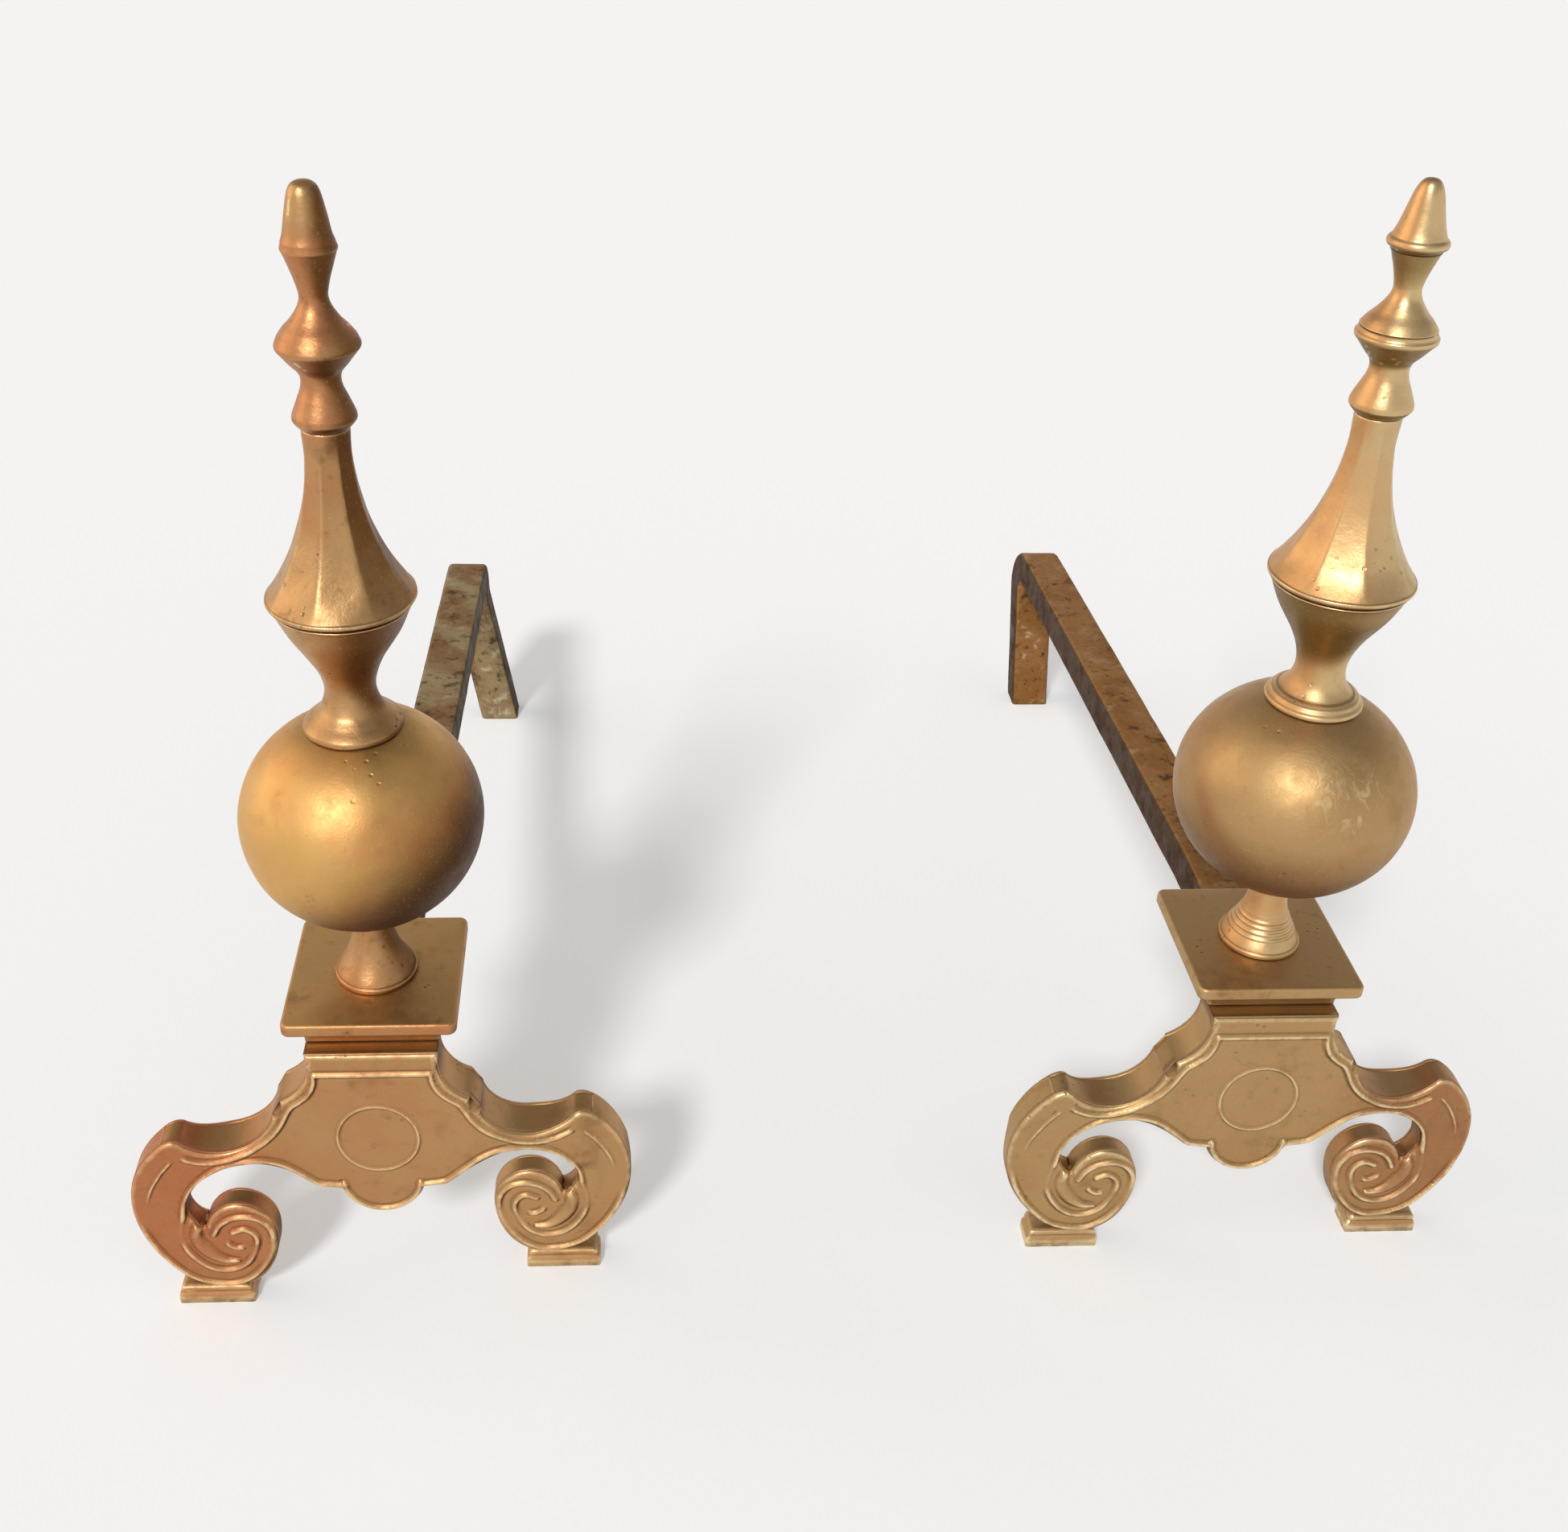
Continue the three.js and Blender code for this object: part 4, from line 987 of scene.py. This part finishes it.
def plate_mesh():
    """Vertices and faces of the leg plate, in its own x, y and z."""
    outline = whole_outline()
    front, front_faces, front_ring = fill_outline(outline, FINE, (0.0002, 0.0005, 0.0009, 0.0014, 0.002))
    back, back_faces, back_ring = fill_outline(outline, COARSE, (0.0004, 0.001, 0.002))
    outer = smoothstep(0.079, 0.094, np.abs(front[:, 0]))
    low_down = smoothstep(0.086, 0.05, front[:, 1])
    front_y = rounding(distance_to(outline, front)) + OUTER_EASE * outer * low_down
    back_y = depth_at(back[:, 0], back[:, 1]) - rounding(distance_to(outline, back))
    vertices = [np.column_stack([front[:, 0], front_y, front[:, 1]]),
                np.column_stack([back[:, 0], back_y, back[:, 1]])]
    faces = [turned_to(front, f, -1) for f in front_faces]
    faces += [turned_to(back, f, 1, len(front)) for f in back_faces]
    rings = [front_ring]
    total, count = len(front) + len(back), len(outline)
    start, stop = vertices[0][front_ring], vertices[1][back_ring]
    for k in range(1, EDGE_STEPS):
        vertices.append(start + (stop - start) * k / EDGE_STEPS)
        rings.append(range(total, total + count))
        total += count
    rings.append([i + len(front) for i in back_ring])
    for near, far in zip(rings, rings[1:]):
        for i in range(count):
            j = (i + 1) % count
            faces.append((near[i], far[i], far[j], near[j]))
    return np.vstack(vertices), faces


def turned_to(points, face, way, offset=0):
    """The face's corners in the order that makes it look along +Y (1) or -Y (-1)."""
    a, b, c = (points[i] for i in face[:3])
    area = (b[0] - a[0]) * (c[1] - a[1]) - (b[1] - a[1]) * (c[0] - a[0])
    order = face if (area < 0) == (way > 0) else face[::-1]
    return tuple(int(i) + offset for i in order)


def relief_lines():
    """Every raised line of the casting's front: (points, half width, rise) along each."""
    def traced(*points):
        return smooth_line(np.array(points) / 1000, FINE)

    def raised(points, half_width=BEAD_HALF_WIDTH, rise=BEAD_RISE, fade=(0.003, 0.003)):
        length = np.linspace(0, len(points) * FINE, len(points))
        ends = smoothstep(0, max(fade[0], 1e-6), length + 0.0004)
        ends = ends * smoothstep(0, max(fade[1], 1e-6), length[-1] - length + 0.0004)
        return points, np.full(len(points), half_width), rise * ends

    def fainter(line, place, near, far, share):
        gap = np.hypot(line[:, 0] - place[0], line[:, 1] - place[1])
        return share + (1 - share) * smoothstep(near, far, gap)

    upper = traced(
        (22.2, 118), (23, 113), (25.2, 108.2), (28.8, 104.6), (32.2, 102), (34.5, 98.2), (37, 93),
        (40.4, 88), (45.2, 83.4), (52.5, 78.8), (61, 76.3), (69, 76.7), (77, 80),
    )
    inner = traced(
        (14.8, 59.2), (20, 59.8), (24.5, 60.6), (27, 62), (34, 68.2), (39.5, 72.2), (46, 74.5),
        (53.5, 74.8), (61, 73.5), (68, 69.4), (74, 63.2), (77.8, 56), (79.5, 48), (81.2, 40), (80.6, 32.7),
        (77.2, 25.8), (72.2, 20.6), (66.4, 18.4), (60.5, 19.4), (55.7, 23.2), (52.5, 29.7), (51.3, 35.5),
        (52.8, 39.5), (56.2, 41.4), (60.5, 39.8),
    )
    inner_rise = BEAD_RISE * fainter(inner, (0.0808, 0.0400), 0.004, 0.010, 0.25)
    inner_rise = inner_rise * fainter(inner, (0.0530, 0.0285), 0.001, 0.007, 0.45)
    rim = traced(
        (96.8, 47), (95.2, 37), (90.5, 26.8), (84.3, 19.2), (77.2, 13.2), (70, 10.8), (62.2, 10.6),
        (55.3, 14.1), (49.7, 20.8), (46, 29.2), (44.9, 37.6), (46.5, 43.2), (50.5, 47.2), (56, 48.4),
        (61.4, 47), (65.6, 43.6), (68.2, 38.8),
    )
    rim_rise = BEAD_RISE * fainter(rim, (0.0462, 0.0280), 0.003, 0.013, 0.35)
    rim_rise = rim_rise * smoothstep(0, 0.014, np.arange(len(rim)) * FINE)
    leaf = traced((74.2, 42.8), (75.2, 37.5), (73.7, 32.2), (69.9, 27.2), (65, 24.3), (59.8, 24))
    along = np.linspace(0, 1, len(leaf))
    leaf_width = 0.0008 + 0.0022 * np.sin(np.pi * (0.12 + 0.88 * along) ** 0.9)
    hook = traced((64.2, 35), (62.4, 32.6), (59.4, 31.1), (56, 31.8))
    ridge = traced((80, 79), (86, 71.2), (91, 61.2), (93.8, 50))
    right = [
        raised(upper, fade=(0.0, 0.003)),
        (inner, np.full(len(inner), SCROLL_BEAD_HALF_WIDTH), inner_rise),
        (rim, np.full(len(rim), SCROLL_BEAD_HALF_WIDTH), rim_rise),
        (leaf, leaf_width, np.full(len(leaf), 0.0013)),
        raised(hook),
        raised(ridge, 0.0009, FINE_BEAD_RISE, (0.003, 0.016)),
    ]
    middle = [
        raised(line_of((-0.0222, 0.118), (0.0222, 0.118)), fade=(0.0, 0.0)),
        raised(arc(LOBE, (0.0152, 0.0152), -4, -176), fade=(0.0, 0.0)),
        raised(arc((0.0, 0.0845), (0.0158, 0.0168), 0, 360), 0.0008, FINE_BEAD_RISE, (0.0, 0.0)),
    ]
    left = [(points * (-1, 1), width, rise) for points, width, rise in right]
    return right + middle + left


def drawn_lines(name, x):
    """The raised lines as one set of edges that carry their rise and half width."""
    points, edges, widths, rises = [], [], [], []
    for line, width, rise in relief_lines():
        start = len(points)
        points += [(x + p[0], 0.0, p[1]) for p in line]
        edges += [(i, i + 1) for i in range(start, start + len(line) - 1)]
        widths += list(width)
        rises += list(rise)
    lines = line_object(name, points, edges)
    for label, values in (("half_width", widths), ("rise", rises)):
        lines.data.attributes.new(label, "FLOAT", "POINT").data.foreach_set("value", values)
    return lines


def foot_pad(x, plate_front):
    """A bevelled pad with a raised line along its front, under the scroll."""
    front = plate_front - FOOT_PROUD
    back = front + FOOT_DEPTH
    profile = fillet([(0.0, 0.0), (0.0002, 0.0042), (0.0013, 0.0060), (0.0003, 0.0068), (0.0004, 0.0085),
                      (0.0022, FOOT_HEIGHT)], 0.0006)
    levels = []
    for inset, z in profile:
        half = FOOT_HALF - 0.6 * inset - 0.0014 * smoothstep(0.003, FOOT_HEIGHT, z)
        levels.append((z, half, front + inset, back - inset, 0.0010))
    return moulded_block("foot_pad", levels, (x, 0.0))


def rear_shelf(x, y, plate_front):
    """The shelf behind the shield that the bar sits on, rounded about the rod."""
    rings = []
    front = plate_front + LEG_DEPTH - 0.003
    for inset, height in ((SHELF_EDGE, SHELF_FOOT), (0.0, SHELF_FOOT + SHELF_EDGE),
                          (0.0, SHELF_TOP - SHELF_EDGE), (SHELF_EDGE, SHELF_TOP)):
        half = SHELF_HALF - inset
        angles = np.linspace(0, math.pi, 25)
        around = [(x + half * math.cos(a), y + half * math.sin(a)) for a in angles]
        flat = [(x - half, front), (x + half, front)] + around
        rings.append(np.array([(px, py, height) for px, py in flat]))
    return loft(rings, "rear_shelf")


def sweep_legs(piece, side, x):
    """Bends each leg a few degrees forward or back. Its scroll and foot keep facing the front."""
    count = len(piece.data.vertices)
    places = np.empty(count * 3)
    piece.data.vertices.foreach_get("co", places)
    places = places.reshape(count, 3)
    out = np.abs(places[:, 0] - x) - SWEEP_START
    eased = (out + SWEEP_EASE) ** 2 / (4 * SWEEP_EASE)
    bent = np.where(out < SWEEP_EASE, eased, out) * (out > -SWEEP_EASE)
    bent = np.minimum(bent, SWEEP_REACH)
    scrolled = smoothstep(SCROLL_TOP + SCROLL_EASE, SCROLL_TOP, places[:, 2]) * (out > 0)
    rate = np.where(places[:, 0] < x, *np.tan(np.radians(LEG_SWEEP[side])))
    places[:, 1] -= rate * (bent + (SWEEP_REACH - bent) * scrolled)
    piece.data.vertices.foreach_set("co", places.ravel())
    piece.data.update()


def leg_casting(side, vertices, faces):
    """The plate, two foot pads and the shelf as one piece, with its legs bent and its lines raised."""
    x, y = axis_of(side)
    front = LEG_FRONT[side]
    plate = mesh_object("plate", vertices + (x, front, 0.0), faces)
    feet = [foot_pad(x - FOOT_CENTRE, front), foot_pad(x + FOOT_CENTRE, front)]
    piece = join(f"{side}_brass_leg_casting", [plate, *feet, rear_shelf(x, y, front)])
    sweep_legs(piece, side, x)
    lines = drawn_lines(f"{side}_drawn_lines", x)
    grow(piece, raised_lines, Lines=lines, Material=FINISHES[f"{side}_leg"])
    bpy.data.objects.remove(lines)
    attach(piece, f"{side}_leg_casting")


# ---------------------------------------------------------------- plinth

CAP_HALF = 0.0332
CAP_THICK = 0.0056
CAP_ROUND = 0.0014
CAP_CORNER = 0.0034
COVE_RECESS = 0.0012
COVE_CORNER = 0.0015
COVE_TOP = 0.0295
COVE_FOOT = 0.0258
PLINTH_WALL = 0.005
FOOT_EDGE = 0.0004
BAR_TURN = {"left": 0.6, "right": 0.1}
BAR_WIDTH = 0.0225
BAR_HEIGHT = 0.018


def plinth(side):
    """A square cap over a cove, hollow below, with a notch for the bar in its rear wall."""
    x, y = axis_of(side)
    foot, top = foot_of(f"{side}_plinth"), top_of(f"{side}_plinth")
    under = top - CAP_THICK
    cove_top = under - COVE_RECESS

    def level(z, half, corner=COVE_CORNER):
        return z, half, y - half, y + half, corner

    inner = COVE_FOOT - PLINTH_WALL
    levels = [level(under, inner, 0.001), level(foot + FOOT_EDGE, inner, 0.001),
              level(foot, inner + FOOT_EDGE, 0.001), level(foot, COVE_FOOT - FOOT_EDGE, 0.0012),
              level(foot + FOOT_EDGE, COVE_FOOT, 0.0012)]
    for a in np.radians(np.linspace(84, 0, 12)):
        levels.append(level(cove_top - (cove_top - foot) * (1 - math.cos(a)),
                            COVE_TOP - (COVE_TOP - COVE_FOOT) * math.sin(a)))
    levels += [level(under - 0.0001, COVE_TOP + 0.0001), level(under, COVE_TOP + 0.0005)]
    levels += [level(z, half, corner) for z, half, _, _, corner in
               rounded_levels(under, top, CAP_HALF, CAP_ROUND, 0, 0, CAP_CORNER, 5)]
    block = moulded_block(f"{side}_brass_plinth", levels, (x, 0.0))
    half_notch = BAR_WIDTH / 2 + CAP_HALF * math.sin(math.radians(BAR_TURN[side])) + SEAT
    cutter = moulded_block("notch", [
        (z, half_notch, y + inner - 0.001, y + CAP_HALF, 0.0003) for z in (foot - 0.004, under)
    ], (x, 0.0))
    cut = block.modifiers.new("notch", "BOOLEAN")
    cut.object = cutter
    cut.operation = "DIFFERENCE"
    cut.solver = "EXACT"
    mesh = baked(block)
    for spare in (block, cutter):
        bpy.data.objects.remove(spare)
    piece = placed(f"{side}_brass_plinth", mesh)
    mesh.materials.clear()
    mesh.materials.append(FINISHES[f"{side}_cap"])
    attach(piece, f"{side}_plinth")


# ---------------------------------------------------------------- iron bar and fastenings

forged_skin = forged_skin_tree()
BAR_FRONT = 0.0206
BAR_LEVEL_RUN = 0.080
BAR_REAR_TOP = 0.111
BAR_REAR_REACH = 0.470
BAR_BEND = 0.017
BAR_CORNER = 0.0021
BAR_STEP = 0.0022
KNEE_EASE = 0.006
UPRIGHT_BELOW = 0.06
LEG_LEAN = {"left": 0.0155, "right": 0.007}


def bar_path(side):
    """The bar's middle line in its own plane, from under the plinth to the rear foot: (x, y, z)."""
    level = top_of(f"{side}_billet_bar") - BAR_HEIGHT / 2
    rear = BAR_REAR_TOP - BAR_HEIGHT / 2
    bend_start = BAR_REAR_REACH - BAR_BEND - BAR_HEIGHT / 2
    knee = BAR_FRONT + BAR_LEVEL_RUN
    slope = math.atan2(level - rear, bend_start - knee)
    points = [(0, BAR_FRONT, level), (0, knee - KNEE_EASE, level),
              (0, knee + KNEE_EASE, level - KNEE_EASE * math.tan(slope))]
    for a in np.linspace(slope, math.pi / 2, 14):
        points.append((0, bend_start + BAR_BEND * (math.sin(a) - math.sin(slope)),
                       rear - BAR_BEND * (math.cos(slope) - math.cos(a))))
    points.append((LEG_LEAN[side], points[-1][1], 0.0))
    return even(np.array(points, float), BAR_STEP)


def billet_bar(side):
    """One forging: the section square to the path, and level cuts down the rear leg."""
    x, y = axis_of(side)
    path = bar_path(side)
    section = rounded_rectangle(BAR_WIDTH / 2, -BAR_HEIGHT / 2, BAR_HEIGHT / 2, BAR_CORNER, 8, 5)
    rings = []
    for i, centre in enumerate(path):
        ahead = path[min(i + 1, len(path) - 1)] - path[max(i - 1, 0)]
        along = np.array([0.0, ahead[1], ahead[2]]) / math.hypot(ahead[1], ahead[2])
        if centre[2] < UPRIGHT_BELOW:
            along = np.array([0.0, 0.0, -1.0])
        up = np.array([0.0, -along[2], along[1]])
        rings.append(np.array([centre + (p[0], 0, 0) + up * p[1] for p in section])[::-1])
    turn = Matrix.Rotation(-math.radians(BAR_TURN[side]), 3, "Z")
    pivot = np.array([0.0, y - LEG_FRONT[side], 0.0])
    place = np.array([x, LEG_FRONT[side], 0.0])
    rings = [(ring - pivot) @ np.array(turn).T + pivot + place for ring in rings]
    piece = loft(rings, f"{side}_iron_billet_bar")
    grow(piece, forged_skin, Material=FINISHES[f"{side}_bar"])
    attach(piece, f"{side}_billet_bar")


WASHER_RADIUS = 0.011
THREAD_PITCH = 0.0016
THREAD_TURNS = 8
NUT_EDGE = 0.0012


def fastenings(side):
    """The rod's threaded tail, its washer and its square nut, under the shelf."""
    y = axis_of(side)[1]
    low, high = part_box(f"{side}_tie_rod")
    radius = (high.x - low.x) / 2
    thread = [(0, low.z), (radius - 0.001, low.z)]
    for k in range(THREAD_TURNS):
        z = low.z + (k + 0.5) * THREAD_PITCH
        thread += [(radius - 0.0007, z), (radius, z + THREAD_PITCH / 2)]
    thread += [(radius - 0.0002, z + THREAD_PITCH), (radius - 0.0002, high.z), (0, high.z)]
    turn_piece("iron_tie_rod", "tie_rod", side, thread, finish="fastener")
    foot, top = foot_of(f"{side}_rod_washer"), top_of(f"{side}_rod_washer")
    disc = fillet([(0, foot), (WASHER_RADIUS, foot), (WASHER_RADIUS, top), (0, top)], 0.0005)
    turn_piece("iron_washer", "rod_washer", side, disc, finish="fastener")
    low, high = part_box(f"{side}_rod_nut")
    half = (high.x - low.x) / 2
    levels = rounded_levels(low.z, high.z, half, NUT_EDGE, y - half, y + half, NUT_EDGE)
    nut = moulded_block(f"{side}_iron_nut", levels, (axis_of(side)[0], 0.0))
    nut.data.materials.append(FINISHES["fastener"])
    attach(nut, f"{side}_rod_nut")


# ---------------------------------------------------------------- floor, light and camera

FLOOR_HALF = 6.0
FLOOR_GREY = 0.80
FLOOR_LIFT = 0.215
BACKDROP = 0.887
CEILING = {"left": 0.44, "right": 0.22}


def floor():
    """A pale hearth. It glows a little where it is seen, and still takes the pair's shadow."""
    corners = [(FLOOR_HALF * x, FLOOR_HALF * y, 0) for x, y in ((-1, -1), (1, -1), (1, 1), (-1, 1))]
    plane = mesh_object("hearth_floor", corners, [(0, 1, 2, 3)], smooth=False)
    finish = Finish("pale_floor", 0.0, 0.9)
    finish.surface.inputs["Base Color"].default_value = (FLOOR_GREY, FLOOR_GREY, FLOOR_GREY, 1.0)
    finish.surface.inputs["Specular IOR Level"].default_value = 0.0
    finish.surface.inputs["Emission Color"].default_value = (1.0, 1.0, 1.0, 1.0)
    rays = finish.node("ShaderNodeLightPath").outputs
    seen = finish.math("MAXIMUM", rays["Is Camera Ray"], rays["Is Glossy Ray"])
    seen = finish.math("MAXIMUM", seen, rays["Is Transmission Ray"])
    finish.set(finish.surface.inputs["Emission Strength"], finish.math("MULTIPLY", seen, FLOOR_LIFT))
    plane.data.materials.append(finish.material)


def studio_world():
    """A pale band at the horizon, like the floor, and a dimmer ceiling that is brighter to the left."""
    world = bpy.data.worlds.new("studio")
    world.use_nodes = True
    bpy.context.scene.world = world
    graph = Graph(world.node_tree)
    place = graph.node("ShaderNodeTexCoord").outputs["Generated"]
    parts = graph.node("ShaderNodeSeparateXYZ", {"Vector": place})
    ceiling = graph.node("ShaderNodeMapRange", {
        "Value": parts.outputs["X"],
        "From Min": -0.8,
        "From Max": 0.8,
        "To Min": CEILING["left"],
        "To Max": CEILING["right"],
    }).outputs[0]
    glow = graph.node("ShaderNodeMapRange", {
        "Value": parts.outputs["Z"],
        "From Min": 0.16,
        "From Max": 0.5,
        "To Min": BACKDROP,
        "To Max": ceiling,
    }, interpolation_type="SMOOTHSTEP").outputs[0]
    background = world.node_tree.nodes["Background"]
    background.inputs["Color"].default_value = (1.0, 1.0, 1.0, 1.0)
    graph.set(background.inputs["Strength"], glow)


def soft_sun(name, azimuth, elevation, spread, strength, colour=(1.0, 1.0, 1.0)):
    """Broad, even light from far away. The azimuth counts from -Y towards -X."""
    light = bpy.data.lights.new(name, "SUN")
    light.angle = math.radians(spread)
    light.energy = strength
    light.color = colour
    lamp = placed(name, light)
    a, e = math.radians(azimuth), math.radians(elevation)
    towards = Vector((-math.sin(a) * math.cos(e), -math.cos(a) * math.cos(e), math.sin(e)))
    lamp.location = towards * 3
    lamp.rotation_euler = towards.to_track_quat("Z", "Y").to_euler()


CAMERA_PLACE = (-0.0831, LEG_FRONT["left"] - 0.5097, 0.5927)
CAMERA_PITCH = 30.84
CAMERA_YAW = 3.13
CAMERA_ROLL = 1.33
CAMERA_LENS = 40.47
CAMERA_SHIFT = (0.0533, -0.0466)


def camera():
    """Stands in front, a little left of the middle, and looks down at the pair."""
    data = bpy.data.cameras.new("camera")
    data.sensor_fit = "HORIZONTAL"
    data.sensor_width = 36.0
    data.lens = CAMERA_LENS
    data.shift_x, data.shift_y = CAMERA_SHIFT
    data.clip_start, data.clip_end = 0.01, 50.0
    pitch, yaw, roll = (math.radians(a) for a in (CAMERA_PITCH, CAMERA_YAW, CAMERA_ROLL))
    forward = Vector((math.sin(yaw) * math.cos(pitch), math.cos(yaw) * math.cos(pitch), -math.sin(pitch)))
    right = Vector((math.cos(yaw), -math.sin(yaw), 0.0))
    up = right.cross(forward)
    side = right * math.cos(roll) + up * math.sin(roll)
    top = up * math.cos(roll) - right * math.sin(roll)
    turn = Matrix((side, top, -forward)).transposed().to_4x4()
    view = placed("camera", data)
    view.matrix_world = Matrix.Translation(CAMERA_PLACE) @ turn
    bpy.context.scene.camera = view


# ---------------------------------------------------------------- the pair and its scene

plate_vertices, plate_faces = plate_mesh()
for side in SIDES:
    turned_pieces(side)
    leg_casting(side, plate_vertices, plate_faces)
    plinth(side)
    billet_bar(side)
    fastenings(side)

floor()
studio_world()
soft_sun("key", 24, 40, 10, 1.75, (0.97, 0.985, 1.0))
soft_sun("side", 98, 24, 50, 0.75, (1.0, 0.84, 0.66))
soft_sun("fill", -50, 35, 60, 0.12)
camera()
bpy.context.scene.view_settings.view_transform = "Standard"
